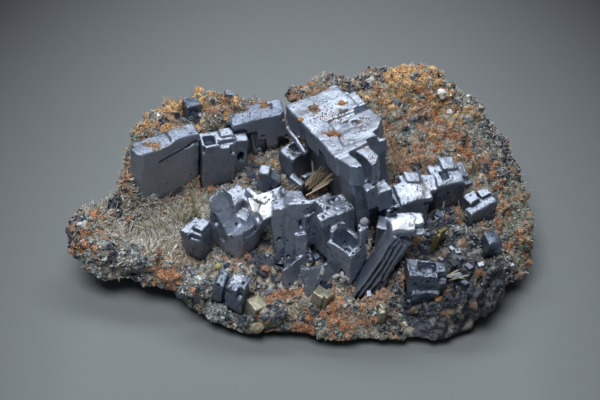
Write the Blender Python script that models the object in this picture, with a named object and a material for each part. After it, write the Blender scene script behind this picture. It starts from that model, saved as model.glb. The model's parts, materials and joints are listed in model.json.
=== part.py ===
"""Skeletal galena on its matrix: a cabinet specimen about 14 cm wide.

Lead-grey galena cubes, stepped, notched and hollowed as skeletal growth leaves
them, stand in a loose plate of drusy rock with small pyrite crystals on it.
The specimen lies as in a cabinet: +X is its right, +Y its back, +Z is up, and
the origin is under the middle of its plan, on the surface that it rests on.
"""
import math

import bmesh
import bpy
from mathutils import Matrix, Vector, noise

# Driving dimensions. Lengths are in millimetres, and MM turns them into metres.
MM = 0.001
# The gap between two pieces, and between a root and the rock around it
CLEARANCE = 0.3
EDGE_CHAMFER = 0.35
FLAKE_CHAMFER = 0.15
PYRITE_CHAMFER = 0.2
# What keeps the faces of neighbouring hollows out of one plane
STAGGER = 0.01
# What brings the middle of the plan to the origin
PLAN_SHIFT = (-1.05, 0.9, 0.0)

# The matrix: its rim seen from above, its resting patch and the lie of its top
RIM = [
    (70, 4), (68, 15), (64.5, 25), (58, 33.5), (48, 38.5), (40, 41.5), (31, 42),
    (17, 38.5), (9, 33), (2, 31), (-6, 27), (-17, 28), (-28, 28), (-38, 25.5), (-46.5, 19.5),
    (-52.5, 12), (-56, 4.5), (-60, 0.5), (-65.5, -3), (-70, -10.5), (-66.5, -18),
    (-59, -22.5), (-47, -24.5), (-36, -27.5), (-27, -34.5), (-20, -39.5), (-9, -40),
    (3, -42.5), (17, -42.5), (30, -43), (41, -42.5), (50, -38), (58.5, -27.5), (68, -18), (70, -8),
]
RESTING_CENTRE = (4.0, -2.0)
RESTING_HALF_SIZE = (47.0, 33.0)
# Heights of the druse on a wide net: a row for each depth, front to back
NET_ACROSS = (-65, -50, -35, -20, 0, 20, 38, 52, 66)
NET_DEPTHS = (-40, -32, -24, -14, -4, 6, 14, 22, 30, 40)
NET_HEIGHTS = (
    (10, 8, 7, 7, 7, 6, 6, 6, 8),
    (12, 10, 9, 11, 13, 14, 14, 11, 9),
    (15, 12, 12, 17, 19, 20, 20, 17, 11),
    (22, 15, 15, 18, 20, 22, 25, 22, 14),
    (24, 16, 15, 18, 21, 24, 27, 25, 18),
    (22, 17, 16, 19, 22, 27, 30, 27, 21),
    (24, 22, 20, 21, 23, 31, 33, 30, 23),
    (26, 23, 21, 20, 30, 34, 35, 32, 24),
    (28, 24, 22, 21, 36, 38, 40, 33, 25),
    (28, 26, 24, 24, 38, 40, 42, 34, 26),
)
# The crust that stands like a wall behind the left blocks
WALL_HEIGHT = 18.0
WALL_FOOT = (-47.0, 0.5)
WALL_TREND = 0.6
WALL_STEEPNESS = 1.1
WALL_ENDS = (-52.5, -10.0)
WALL_END_SOFTNESS = (1.4, 2.0)
# The grid that is laid over the plan: its share of the rim before the skin swells,
# how far its directions close on the long axis, and how its edge crumbles down
GRID_COLUMNS = 35
GRID_ROWS = 22
GRID_REACH = 0.955
GRID_SQUEEZE = 0.75
CRUMBLE_DROP = 0.09
CRUMBLE_BAND = 0.1
# The rings of its side: share of the way to the resting patch, share of the rim,
# share of the top's height
SIDE_RINGS = ((0.0, 1.0, 0.62), (0.35, 0.985, 0.30), (1.0, 0.9, 0.0))
# Bumps of two sizes in its skin, and those of the lumps on it
COARSE_RELIEF = 1.7
COARSE_BUMP = 9.0
FINE_RELIEF = 0.9
FINE_BUMP = 3.1
LUMP_SWELL = 0.22

# Sphalerite and rock lumps on the matrix: centre, half sizes
LUMPS = [
    ((-57, -17, 14.0), (8, 5, 5)), ((-47, -20, 13.5), (6, 4.5, 4.5)), ((-8, -24, 14.5), (4.6, 4.2, 5)),
    ((-13.5, -21.5, 15.5), (3.2, 3, 3.5)), ((-9, -37.5, 8.5), (5, 3, 4)), ((-14, -38, 6.5), (4, 2.5, 3.4)),
    ((46, -34, 9.5), (8, 4, 4.6)), ((54, -30, 9.5), (5, 4, 4.4)), ((61, 19, 21), (4, 7, 4)),
    ((29.5, 22, 33.5), (3, 3, 3)), ((55, -26, 13), (4, 3.6, 4)), ((-37, 21, 35.5), (6, 3.6, 4)),
    ((-29, 23.5, 37.5), (5, 3.4, 3.6)), ((-19, 23, 35.0), (4.4, 3.2, 3.0)), ((37, 32, 38.5), (7, 5, 3.4)),
    ((65, -10, 13), (3.4, 7, 4)), ((-30, -30, 12.5), (4, 3.4, 3.2)), ((1.5, 28.4, 35.6), (6, 3.4, 3)),
    ((9, 31.6, 37.4), (6.4, 3.4, 3)),
]

collections = {}


def mm(values):
    """A point given in millimetres, as a vector in metres."""
    return Vector(values) * MM


def clear_scene():
    """Remove the scene's objects, and make the two collections."""
    for old in list(bpy.data.objects):
        bpy.data.objects.remove(old, do_unlink=True)
    for name in ("skeletal_galena_specimen", "cutters"):
        collections[name] = bpy.data.collections.new(name)
        bpy.context.scene.collection.children.link(collections[name])


def make_material(name, colour, roughness, metallic):
    """A plain finish with one colour, roughness and metallic value."""
    material = bpy.data.materials.new(name)
    material.use_nodes = True
    shader = material.node_tree.nodes["Principled BSDF"]
    shader.inputs["Base Color"].default_value = (*colour, 1.0)
    shader.inputs["Roughness"].default_value = roughness
    shader.inputs["Metallic"].default_value = metallic
    return material


def add_object(name, form, collection, material=None):
    """Turn a bmesh into an object of the named collection."""
    mesh = bpy.data.meshes.new(name)
    form.to_mesh(mesh)
    form.free()
    made = bpy.data.objects.new(name, mesh)
    collections[collection].objects.link(made)
    if material:
        mesh.materials.append(material)
    return made


def seat(corner, turn=0.0, roll=0.0, lean=0.0):
    """A crystal's own axes: x along its front edge, y into its depth, z up.

    The origin is its front left top corner. Turn is about the vertical, roll
    lowers the right end, and lean tips the top towards the front.
    """
    frame = Matrix.Translation(mm(corner))
    frame = frame @ Matrix.Rotation(math.radians(turn), 4, "Z")
    frame = frame @ Matrix.Rotation(math.radians(roll), 4, "Y")
    return frame @ Matrix.Rotation(math.radians(lean), 4, "X")


def turned(frame, angle, axis):
    """The axes of a twin that is turned against its neighbour, in degrees."""
    return frame @ Matrix.Rotation(math.radians(angle), 4, axis)


def make_box(name, frame, low, high, collection="cutters", chamfer=0.0, material=None):
    """A box between two corners in a crystal's own axes, its edges chamfered."""
    form = bmesh.new()
    bmesh.ops.create_cube(form, size=1.0)
    low, high = mm(low), mm(high)
    size = high - low
    bmesh.ops.scale(form, vec=size, verts=form.verts)
    bmesh.ops.translate(form, vec=(low + high) / 2, verts=form.verts)
    if chamfer:
        bmesh.ops.bevel(
            form, geom=form.edges[:], offset=chamfer * MM, segments=1, affect="EDGES"
        )
    made = add_object(name, form, collection, material)
    made.matrix_world = frame
    return made


def use_tool(body, tool, operation):
    """Join a tool solid to a body, or cut it from the body, and hide the tool."""
    tool.hide_render = True
    tool.display_type = "WIRE"
    step = body.modifiers.new(tool.name, "BOOLEAN")
    step.operation = operation
    step.solver = "EXACT"
    step.object = tool


class Crystal:
    """A solid built up and cut back along its own axes, as skeletal growth does."""

    def __init__(self, name, frame, low, high, material, chamfer=EDGE_CHAMFER):
        self.name = name
        self.frame = frame
        self.boxes = [(frame, low, high)]
        self.sockets = []
        self.body = make_box(
            name, frame, low, high, "skeletal_galena_specimen", chamfer, material
        )

    def grow(self, low, high, frame=None, chamfer=0.0):
        """Join a block, a ledge or a blade."""
        frame = frame or self.frame
        tool = make_box(f"{self.name}_ledge", frame, low, high, chamfer=chamfer)
        use_tool(self.body, tool, "UNION")
        self.boxes.append((frame, low, high))

    def socket(self, low, high, frame=None):
        """Name a box that the matrix leaves free for the root, instead of every block."""
        self.sockets.append((frame or self.frame, low, high))

    def cut(self, low, high, frame=None):
        """Cut a notch, a slot or a missing corner."""
        tool = make_box(f"{self.name}_notch", frame or self.frame, low, high)
        use_tool(self.body, tool, "DIFFERENCE")

    def hopper(self, low, high, levels=3, step=0.8, frame=None):
        """Cut a stepped hollow that narrows as it deepens, from the top face."""
        depth = (high[2] - low[2]) / levels
        for level in range(levels):
            inset = step * level
            self.cut(
                (low[0] + inset, low[1] + inset, high[2] - depth * (level + 1)),
                (high[0] - inset, high[1] - inset, high[2] + 0.5 - STAGGER * level),
                frame,
            )

    def bevel_corner(self, x, y, facing, inward, low=-9.0):
        """Cut an upright corner off, square to the way it faces in degrees."""
        corner = turned(self.frame @ Matrix.Translation(mm((x, y, 0))), facing, "Z")
        self.cut((-inward, -4, low), (3, 4, 1.3), corner)

    def keep_clear(self, other):
        """Cut back what would touch another piece, leaving the clearance."""
        for frame, low, high in other.boxes:
            self.cut([v - CLEARANCE for v in low], [v + CLEARANCE for v in high], frame)


def eased(share):
    """A share from 0 to 1 that starts and ends level."""
    return share * share * (3 - 2 * share)


def rim_radius(angle):
    """The distance from the plan's middle to the rim, eased between its points."""
    points = sorted((math.atan2(y, x), math.hypot(x, y)) for x, y in RIM)
    points = (
        [(points[-1][0] - 2 * math.pi, points[-1][1])]
        + points
        + [(points[0][0] + 2 * math.pi, points[0][1])]
    )
    for (a0, r0), (a1, r1) in zip(points, points[1:]):
        if a0 <= angle <= a1:
            return r0 + (r1 - r0) * eased((angle - a0) / (a1 - a0))
    return points[1][1]


def resting_point(angle):
    """The edge of the flat patch that the matrix rests on, an uneven oval."""
    sway = 1 + 0.07 * math.sin(3 * angle + 1) + 0.05 * math.sin(5 * angle)
    x = RESTING_CENTRE[0] + RESTING_HALF_SIZE[0] * math.cos(angle) * sway
    y = RESTING_CENTRE[1] + RESTING_HALF_SIZE[1] * math.sin(angle) * sway
    return x, y


def soft_step(distance, softness):
    """Nothing well before zero and one well after it."""
    return 1.0 / (1.0 + math.exp(-max(min(distance / softness, 30.0), -30.0)))


def net_share(values, where):
    """The net interval that a place falls in, and a smooth share across it."""
    where = min(max(where, values[0]), values[-1])
    index = max(k for k in range(len(values) - 1) if values[k] <= where)
    return index, eased((where - values[index]) / (values[index + 1] - values[index]))


def top_height(x, y):
    """The druse's height: the net's smooth surface, with the crust wall on it."""
    column, across = net_share(NET_ACROSS, x)
    row, along = net_share(NET_DEPTHS, y)
    near = NET_HEIGHTS[row][column] * (1 - across) + NET_HEIGHTS[row][column + 1] * across
    far = NET_HEIGHTS[row + 1][column] * (1 - across) + NET_HEIGHTS[row + 1][column + 1] * across
    foot = WALL_FOOT[1] + WALL_TREND * (x - WALL_FOOT[0])
    wall = soft_step(y - foot, WALL_STEEPNESS)
    wall *= soft_step(x - WALL_ENDS[0], WALL_END_SOFTNESS[0])
    wall *= soft_step(WALL_ENDS[1] - x, WALL_END_SOFTNESS[1])
    return near * (1 - along) + far * along + WALL_HEIGHT * wall


def rough(point, scale, seed):
    """Smooth noise between about -1 and 1, for bumps of the given size."""
    return noise.noise(Vector(point) / scale + Vector((seed, 2 * seed, 3 * seed)))


def matrix_form():
    """A grid laid over the plan, its border pulled down and in to the base."""
    form = bmesh.new()
    bmesh.ops.create_grid(form, x_segments=GRID_COLUMNS, y_segments=GRID_ROWS, size=1.0)
    for vertex in form.verts:
        u, v, _ = vertex.co
        reach = max(abs(u), abs(v))
        angle = math.atan2(v * GRID_SQUEEZE, u)
        radius = rim_radius(angle) * reach * GRID_REACH
        x, y = radius * math.cos(angle), radius * math.sin(angle)
        crumble = 1.0 - CRUMBLE_DROP * max(reach - 1 + CRUMBLE_BAND, 0) / CRUMBLE_BAND
        vertex.co = (x, y, top_height(x, y) * crumble)
    for inward, shrink, lift in SIDE_RINGS:
        border = [edge for edge in form.edges if edge.is_boundary]
        pulled = bmesh.ops.extrude_edge_only(form, edges=border)["geom"]
        for vertex in (item for item in pulled if isinstance(item, bmesh.types.BMVert)):
            angle = math.atan2(vertex.co.y, vertex.co.x)
            radius = rim_radius(angle)
            rim = Vector((radius * math.cos(angle), radius * math.sin(angle)))
            rest = Vector(resting_point(angle))
            flat = (rim * shrink).lerp(rest, inward)
            height = top_height(rim.x, rim.y) * lift
            vertex.co = (flat.x, flat.y, height)
    border = [edge for edge in form.edges if edge.is_boundary]
    bmesh.ops.edgeloop_fill(form, edges=border)
    bmesh.ops.recalc_face_normals(form, faces=form.faces)
    return form


def roughen(form):
    """Push the skin of the matrix in and out, all but the flat it rests on."""
    form.normal_update()
    moves = []
    for vertex in form.verts:
        resting = vertex.co.z <= 0
        coarse = COARSE_RELIEF * rough(vertex.co, COARSE_BUMP, 1)
        fine = FINE_RELIEF * rough(vertex.co, FINE_BUMP, 4)
        moves.append(Vector() if resting else vertex.normal * (coarse + fine))
    for vertex, move in zip(form.verts, moves):
        vertex.co += move
        vertex.co.z = max(vertex.co.z, 0.0)


def add_lump(body, number, centre, half_size, material):
    """Join a rough faceted lump to a body."""
    form = bmesh.new()
    bmesh.ops.create_icosphere(form, subdivisions=2, radius=1.0)
    for vertex in form.verts:
        swell = 1 + LUMP_SWELL * rough(vertex.co * 4, 3.0, number + 7)
        vertex.co = Vector(
            centre[axis] + vertex.co[axis] * half_size[axis] * swell for axis in range(3)
        )
        vertex.co.z = max(vertex.co.z, 1.0)
    bmesh.ops.scale(form, vec=(MM, MM, MM), verts=form.verts)
    lump = add_object(f"lump_{number}", form, "cutters", material)
    use_tool(body, lump, "UNION")


def make_matrix(material):
    """The rock plate with its lumps."""
    form = matrix_form()
    roughen(form)
    bmesh.ops.triangulate(form, faces=form.faces[:])
    bmesh.ops.scale(form, vec=(MM, MM, MM), verts=form.verts)
    matrix = add_object("matrix", form, "skeletal_galena_specimen", material)
    for number, (centre, half_size) in enumerate(LUMPS):
        add_lump(matrix, number, centre, half_size, material)
    return matrix


def left_block(galena):
    """The big block at the left, its right half stepped back behind a crack."""
    frame = seat((-47.3, -2.9, 37), 31, 3, 7)
    block = Crystal("galena_left_block", frame, (0, 0, -25), (21.4, 6.4, 0), galena)
    block.cut((11.8, -1, -3.0), (23, 0.6, 2))
    block.grow((12.2, 1.0, -5), (21.2, 6.0, 0.7))
    block.cut((8.6, -1, -2.0), (12.6, 0.3, 2.1))
    block.cut((-1, 4.6, -26), (1.4, 10, 1))
    block.bevel_corner(0, 0, -135, 1.2, -26.5)
    block.socket((0, 0, -25), (21.4, 6.4, 0.9))
    return block


def pitted_block(galena):
    """The block beside it, with a square pit in its bright top corner."""
    frame = seat((-28.5, 5.5, 33.4), 17, 3, 7)
    block = Crystal("galena_pitted_block", frame, (0, 0, -18), (10.4, 7.2, 0), galena)
    block.hopper((1.1, 1.2, -6), (4.5, 5.2, 0), 2, 0.5)
    block.cut((-1, -1, -3.0), (0.9, 1.4, 1))
    block.cut((5.2, -1, -1.4), (11, 2.2, 1))
    block.cut((8.4, -1, -4.6), (11, 1.2, 1.2))
    block.grow((6.3, 3.2, -12), (10.1, 7.0, 0.9))
    block.grow((9.6, 1.6, -17.4), (14.4, 6.6, -0.9))
    block.cut((11.4, 0.6, -9.4), (13.2, 4.6, -5.6))
    return block


def leaning_block(galena):
    """The dark-faced block behind, its lower left arched over a recess."""
    frame = seat((-20.6, 13.8, 35.2), 14, -5.4, 6.9)
    block = Crystal("galena_leaning_block", frame, (0, 0, -23), (17.0, 7.4, 0), galena)
    block.cut((-1, -1, -24), (4.3, 1.5, -3.0))
    block.cut((4.0, -1, -24.2), (7.6, 2.0, -5.2))
    block.cut((7.4, -1, -24.4), (10.2, 2.4, -9.0))
    block.cut((10.0, -1, -24.6), (18, 0.9, -12.4))
    block.cut((14.0, -1, -24.8), (18, 2.6, -9.6))
    block.cut((15.9, -1, -3.0), (18, 1.0, 1))
    block.cut((3.6, 0.8, -10.4), (5.2, 3.4, -7.6))
    block.grow((5.6, 0.6, -22), (6.7, 4.4, -7.0))
    block.grow((7.4, 0.9, -22.2), (10.0, 4.0, -12.6), turned(frame, 6, "Y"))
    block.cut((-1, 5.0, -2.2), (5.8, 9.5, 1))
    return block


def plate_block(galena):
    """The broad stepped plate: a ragged hollow behind, two lobes in front."""
    frame = seat((-4.7, 14.2, 43), 28.8, -4.8, -6)
    block = Crystal("galena_plate", frame, (0, -31, -7.5), (17.5, 0, 0), galena)
    block.grow((13, -26, -7), (20.4, -1.5, -0.5))
    block.grow((3.5, -29, -24), (17, -3, -6.5))
    block.grow((0.8, -38.5, -7.5), (5.4, -28.5, -0.7))
    block.grow((1.5, -36.6, -24.5), (6.0, -28.5, -6.5))
    block.grow((5.9, -39, -8.5), (10.6, -28, -1.2))
    block.grow((2.4, -35.2, -25), (10.0, -28.2, -7.6))
    block.grow((3.8, -39.2, -16.5), (7.8, -34.5, -9.2))
    block.grow((7.4, -39.8, -18.5), (12.4, -34.4, -11.6))
    block.cut((8.6, -27, -0.9), (27, -13, 0.6), turned(frame, -8, "Z"))
    block.cut((12.4, -20.6, -2.0), (14.0, -18.0, 0.7))
    block.cut((15.6, -16.2, -3), (21.5, -14.0, 1))
    block.cut((17.6, -6.5, -3.1), (21.5, -0.4, 1.1))
    block.cut((9.4, -0.9, -8.5), (13.2, 1, 1.2))
    block.cut((14.8, -32, -3.2), (21, -26.6, 1.4))
    block.cut((10.8, -32, -9), (18, -29.4, 1.4))
    block.cut((4.4, -41, -8.4), (6.6, -31, 0.8))
    block.bevel_corner(0.8, -38.5, -135, 1.3)
    block.bevel_corner(10.6, -39, -45, 1.7)
    block.bevel_corner(20.4, -26, -45, 2.4)
    block.cut((-1, -12.5, -8.6), (1.0, -8, -3.2))
    block.cut((-1, -24, -8.7), (1.6, -19.5, -4.4))
    lath = seat((-5.6, 11.4, 36.0), -52, 26, 16)
    block.grow((0, 1.4, -2.4), (10.6, 3.0, 0), lath)
    block.socket((3.2, -30, -24.4), (17.2, -2.8, 2))
    block.socket((0.6, -38.6, -25.2), (10.7, -28, 2.2))
    block.socket((-0.2, -31.2, -7.7), (20.6, 0.2, 2.4))
    return block


def small_cubes(galena):
    """The little cubes and bars in the valley before the big blocks."""
    first = seat((-6.4, 9.6, 29.6), -50, 8, 4)
    hollowed = Crystal("galena_cube_with_hollow", first, (0, 0, -12), (6.6, 7.4, 0), galena)
    hollowed.cut((1.0, 3.2, -2.0), (5.4, 7.0, 1))
    hollowed.cut((1.8, 3.6, -3.2), (4.6, 6.6, 1.2))
    second = seat((-12.4, 3.2, 26.0), -14, 4, 10)
    rounded = Crystal("galena_rounded_cube", second, (0, 0, -10), (3.6, 3.8, 0), galena)
    rounded.grow((2.8, 0.6, -8), (7.4, 3.6, 0.5), turned(second, 29, "Y"))
    third = seat((-3.6, 0.6, 27.2), -36, 10, 8)
    low = Crystal("galena_low_cube", third, (0, 0, -11), (5.4, 2.6, 0), galena)
    fourth = seat((1.4, -0.2, 26.4), 40, -4, 8)
    bar = Crystal("galena_bar", fourth, (0, 0, -11), (5.4, 1.9, 0), galena)
    return [hollowed, rounded, low, bar]


def notched_cube(galena):
    """The mid-grey cube whose front corner is a stepped hollow, with a bright slab."""
    frame = seat((-26.7, -15.2, 32.2), -43, 5, 3)
    cube = Crystal("galena_notched_cube", frame, (0, 0, -17), (12.8, 12.4, 0), galena)
    cube.hopper((4.0, 3.4, -6.2), (10.0, 10.4, 0), 2, 1.2)
    notch = frame @ Matrix.Translation(mm((8.0, -1.0, -8.4)))
    cube.cut((0, 0, 0), (14, 6.6, 14), turned(notch, -45, "Y"))
    cube.cut((-1, 6.0, -2.8), (4.6, 13, 1.1))
    cube.cut((1.6, -1, -9.5), (3.2, 1.4, -4.4))
    cube.cut((5.2, -1, -13), (7.0, 0.9, -9.5))
    cube.grow((9.6, 0.6, -16.8), (13.6, 8.2, -6.6))
    slab = seat((-9.6, -21.6, 29.8), 24, -6, 30)
    cube.grow((-2.6, 0.4, -7.2), (5.0, 8.6, 0), slab)
    cube.grow((3.4, 4.2, -7), (8.4, 9.0, -0.6), slab)
    cube.cut((-3.6, -0.5, -1.6), (-1.0, 3.4, 1), slab)
    return cube


def left_small_cube(galena):
    """The small cube left of the notched one."""
    frame = seat((-34.0, -19.4, 24.6), -34, 6, 8)
    cube = Crystal("galena_left_small_cube", frame, (0, 0, -12), (6.4, 6.2, 0), galena)
    cube.cut((3.2, -1, -2.0), (7, 1.2, 1))
    cube.grow((2.6, 2.4, -8), (6.0, 6.6, 1.6))
    return cube


def hollow_cluster(galena):
    """Three skeletal blocks grown together in the middle, with a dark well."""
    tall = seat((-3.2, -20.4, 35.4), 9, 4, -12)
    cluster = Crystal("galena_hollow_cluster", tall, (-0.6, 0, -22), (4.8, 8.0, 0), galena)
    cluster.grow((-3.8, 1.6, -21), (0.6, 7.0, -2.2), tall)
    cluster.grow((0.8, -0.9, -22.4), (5.8, 3, -10.5), turned(tall, -7, "Y"))
    cluster.cut((3.4, -1, -8.5), (6, 1.4, -5.4))
    pitted = seat((7.0, -27.6, 34.6), 35, 2, 2)
    cluster.grow((0, 0, -18), (11.2, 10.6, 0), pitted)
    cluster.cut((-0.6, 3.8, -8.0), (2.4, 9.0, 1.2), pitted)
    cluster.cut((-0.7, -0.5, -18.6), (2.8, 7.4, -3.2), pitted)
    cluster.cut((5.6, 5.4, -0.9), (9.6, 8.0, 1.1), pitted)
    cluster.cut((8.2, 8.2, -3.4), (12.2, 12.0, 1), pitted)
    cluster.grow((-1.2, 7.8, -17), (4.8, 11.8, -3.9), pitted)
    front = seat((7.4, -28.0, 26.8), -38, 5, 8)
    cluster.grow((0, 0, -13), (8.2, 8.0, 0), front)
    cluster.grow((5.6, 5.2, -6), (8.0, 8.2, 5.6), front)
    cluster.grow((-0.2, 1.8, -6.2), (2.0, 7.0, 3.0), front)
    cluster.cut((1.4, 1.3, -5.8), (6.6, 6.4, 7), front)
    cluster.cut((2.4, 2.0, -7.4), (5.8, 5.6, -5), front)
    cluster.cut((4.4, -1, -13.5), (6.0, 0.8, -8.8), front)
    left_slab = seat((-4.4, -30.0, 17.6), 38, 0, -14)
    cluster.grow((0, 0, -8), (8.4, 1.5, 0), left_slab)
    right_slab = seat((1.6, -30.6, 18.0), 30, 4, -22)
    cluster.grow((0, 0, -8.2), (8.8, 1.7, 0), right_slab)
    cluster.socket((-3.9, -1.0, -22.6), (6.0, 8.2, 2), tall)
    cluster.socket((0.7, -1.0, -22.5), (5.9, 3.1, -10.4), turned(tall, -7, "Y"))
    cluster.socket((-1.4, -0.1, -18.2), (11.4, 11.9, 2.2), pitted)
    cluster.socket((-0.3, -0.1, -13.2), (8.4, 8.4, 7), front)
    cluster.socket((-0.1, -0.1, -8.4), (8.6, 1.8, 1), left_slab)
    cluster.socket((-0.1, -0.1, -8.6), (9.0, 2.0, 1.1), right_slab)
    return cluster


def right_plates(galena):
    """The white-topped plates and dark cubes right of the middle."""
    frame = seat((28.8, -18.4, 34.2), 12, 1, 7)
    plates = Crystal("galena_right_plates", frame, (0, 0, -19), (8.6, 8.0, 0), galena)
    plates.cut((7.0, -1, -4), (10, 2.4, 1))
    plates.cut((-1, -1, -3), (1.2, 2.2, 1.1))
    plates.grow((-3.8, 1.4, -17), (1.2, 7.6, -3.4))
    plates.grow((3.0, 5.6, -16), (7.4, 9.6, 0.8))
    plates.grow((-1.0, -0.7, -2.2), (12.0, 9.2, -0.2))
    plates.cut((9.8, -2, -3), (13, 2.6, 1.2))
    plates.cut((-2, 6.4, -3.1), (1.6, 10, 0.7))
    wing = seat((40.4, -9.6, 33), 18, 5, 2)
    plates.grow((0, 0, -15), (8.8, 7.2, 0), wing)
    plates.grow((-5.0, 0.6, -13), (1.2, 6.0, -1.4), wing)
    plates.grow((2.4, 4.4, -12), (7.2, 9.8, 1.2), wing)
    plates.grow((-1.2, -0.9, -2.0), (10.4, 8.4, -0.3), wing)
    plates.hopper((1.0, 1.0, -2.4), (3.8, 4.6, 0), 2, 0.5, wing)
    plates.cut((8.0, -2, -3), (11, 1.6, 1), wing)
    cubes = seat((21.2, -21.0, 26.4), -14, 6, 8)
    plates.grow((0, 0, -11), (4.4, 5, 0), cubes)
    plates.grow((3.4, 1.2, -11.2), (9.6, 6.2, -2.0), cubes)
    plates.cut((5.4, 0.3, -4.4), (7.8, 3.6, 0), cubes)
    plates.socket((-4.0, -0.2, -19.2), (8.8, 9.8, 2))
    plates.socket((-5.2, -0.2, -15.2), (9.0, 10.0, 2.2), wing)
    plates.socket((-0.2, -0.2, -11.4), (9.8, 6.4, 2.4), cubes)
    return plates


def star_flakes(galena):
    """Thin bright flakes that cross each other between the plate and the cubes."""
    centre = (22.4, -8.2, 31.6)
    first = seat(centre, 20, 0, 8)
    flakes = Crystal(
        "galena_star_flakes", first, (0, 0, -12), (1.1, 6.0, 0), galena, FLAKE_CHAMFER
    )
    for turn, lean, length in ((75, 14, 6.5), (130, -12, 6.0)):
        crossing = seat(centre, turn, 0, lean)
        flakes.grow((-2.4, -0.5, -11), (length - 2.4, 0.6, -0.6), crossing)
    flakes.socket((-4.8, -3.4, -12.4), (4.6, 6.6, 0.2))
    return flakes


def parallel_blades(galena):
    """Slanting parallel blades that fan from a bright plate to the front druse."""
    frame = seat((25.4, -30.0, 33.0), 10, 3, 8)
    blades = Crystal("galena_parallel_blades", frame, (0, 0, -4), (10.6, 6.4, 0), galena)
    blades.cut((7.2, -1, -2.2), (12, 2.4, 1))
    blades.cut((-1, 4.6, -1.6), (2.2, 7, 1.1))
    slanted = seat((26.6, -30.4, 31.6), 4, 29, -4)
    for number in range(4):
        left = 2.0 * number
        blades.grow((left, 0.7 * number, -24.6), (left + 1.35, 6.2, -0.6 - 0.9 * number), slanted)
    blades.grow((0.4, 3.0, -24.8), (8.4, 6.8, -2), slanted)
    blades.socket((-0.1, -0.1, -25), (8.6, 7.2, 1.0), slanted)
    return blades


def low_block(galena):
    """The speckled block low in front of the blades."""
    frame = seat((30.6, -34.6, 20.0), 4, 2, 6)
    block = Crystal("galena_low_block", frame, (0, 0, -15), (11.4, 6.6, 0), galena)
    block.cut((8.8, -1, -3), (12, 2.0, 1))
    block.grow((1.6, -1.2, -14.6), (9.6, 3, -6.2))
    block.hopper((3.0, 2.2, -1.8), (8.0, 5.6, 0), 2, 0.6)
    return block


def dark_bar(galena):
    """The dark bar with a bright upper edge at the right, and its small cubes."""
    frame = seat((49.6, -15.4, 25.6), 32, -2, 10)
    bar = Crystal("galena_dark_bar", frame, (0, 0, -13), (10.4, 3.6, 0), galena)
    bar.grow((1.6, 2.6, -11), (5.4, 6.6, 1.6))
    bar.grow((6.2, 2.8, -11.2), (10.0, 6.2, 1.1))
    return bar


def front_slabs(galena):
    """Two slabs of one cube low at the front left, parted by a crack."""
    frame = seat((-24.8, -34.2, 17.4), -21, 10, 12)
    slabs = Crystal("galena_front_cube", frame, (0, 0, -12), (3.2, 6.4, 0), galena)
    slabs.grow((2.6, 1.4, -11.6), (4.6, 6, -1.6))
    slabs.grow((4.0, -0.4, -12.2), (9.8, 6.6, 0.8))
    slabs.cut((8.0, -1.5, -2.5), (10.5, 1.6, 1.5))
    return slabs


def lone_cubes(galena):
    """The cube half buried in the back crust, and the one by the right tip."""
    back = seat((-34.0, 16.2, 40.0), 24, 3, 8)
    right = seat((54.2, -22.4, 20.4), 20, 8, 10)
    return [
        Crystal("galena_back_cube", back, (0, 0, -9), (5.0, 4.6, 0), galena),
        Crystal("galena_right_cube", right, (0, 0, -9), (5.2, 4.8, 0), galena),
    ]


def pyrite_group(name, frame, blocks, pyrite):
    """A few striated pyrite crystals grown together."""
    group = Crystal(name, frame, *blocks[0], pyrite, PYRITE_CHAMFER)
    for low, high, turn in blocks[1:]:
        group.grow(low, high, turned(frame, turn, "Z"))
    return group


def pyrite_groups(pyrite):
    """The pale brassy crystals along the front."""
    left = pyrite_group(
        "pyrite_front_left",
        seat((-12.6, -38.8, 10.6), 38, 8, 10),
        [((0, 0, -8), (4.6, 4.8, 0)), ((2.4, -1.2, -8), (6.6, 2.6, -1.2), 12)],
        pyrite,
    )
    middle = pyrite_group(
        "pyrite_front_middle",
        seat((3.6, -34.6, 13.8), -32, 14, 2),
        [((0, 0, -7), (3.4, 3.6, 0)), ((2.2, 1.4, -7), (4.4, 4.6, 0.5), -10)],
        pyrite,
    )
    right = pyrite_group(
        "pyrite_front_right",
        seat((22.6, -40.0, 10.6), 14, 0, 12),
        [((0, 0, -7), (2.0, 2.2, 0)), ((1.3, 0.6, -7), (3.0, 2.6, 0.5), 16)],
        pyrite,
    )
    upper = pyrite_group(
        "pyrite_upper_right",
        seat((40.0, -22.6, 24.0), 58, 6, 14),
        [((0, 0, -8), (3.4, 1.2, 0)), ((1.0, 0.7, -8), (4.2, 1.9, 0.7), -12)],
        pyrite,
    )
    return [left, middle, right, upper]


def keep_pieces_apart(pieces):
    """Cut every piece back from those named before it."""
    for index, piece in enumerate(pieces):
        for other in pieces[:index]:
            if boxes_meet(piece, other):
                piece.keep_clear(other)


def piece_bounds(piece):
    """The lowest and highest corners that a piece's boxes reach."""
    corners = []
    for frame, low, high in piece.boxes:
        for x in (low[0], high[0]):
            for y in (low[1], high[1]):
                for z in (low[2], high[2]):
                    corners.append(frame @ mm((x, y, z)))
    low = Vector(min(corner[axis] for corner in corners) for axis in range(3))
    high = Vector(max(corner[axis] for corner in corners) for axis in range(3))
    return low, high


def boxes_meet(piece, other):
    """Whether two pieces' bounds come within the clearance of each other."""
    (low, high), (other_low, other_high) = piece_bounds(piece), piece_bounds(other)
    gap = CLEARANCE * MM
    return all(
        low[axis] - gap < other_high[axis] and other_low[axis] - gap < high[axis]
        for axis in range(3)
    )


def reaches_matrix(frame, low, high):
    """Whether a box's lowest corner comes down to the druse around it."""
    corners = [
        frame @ mm((x, y, low[2])) for x in (low[0], high[0]) for y in (low[1], high[1])
    ]
    lowest = min(corners, key=lambda corner: corner.z) / MM
    return lowest.z < top_height(lowest.x, lowest.y) + COARSE_RELIEF + FINE_RELIEF


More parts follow.
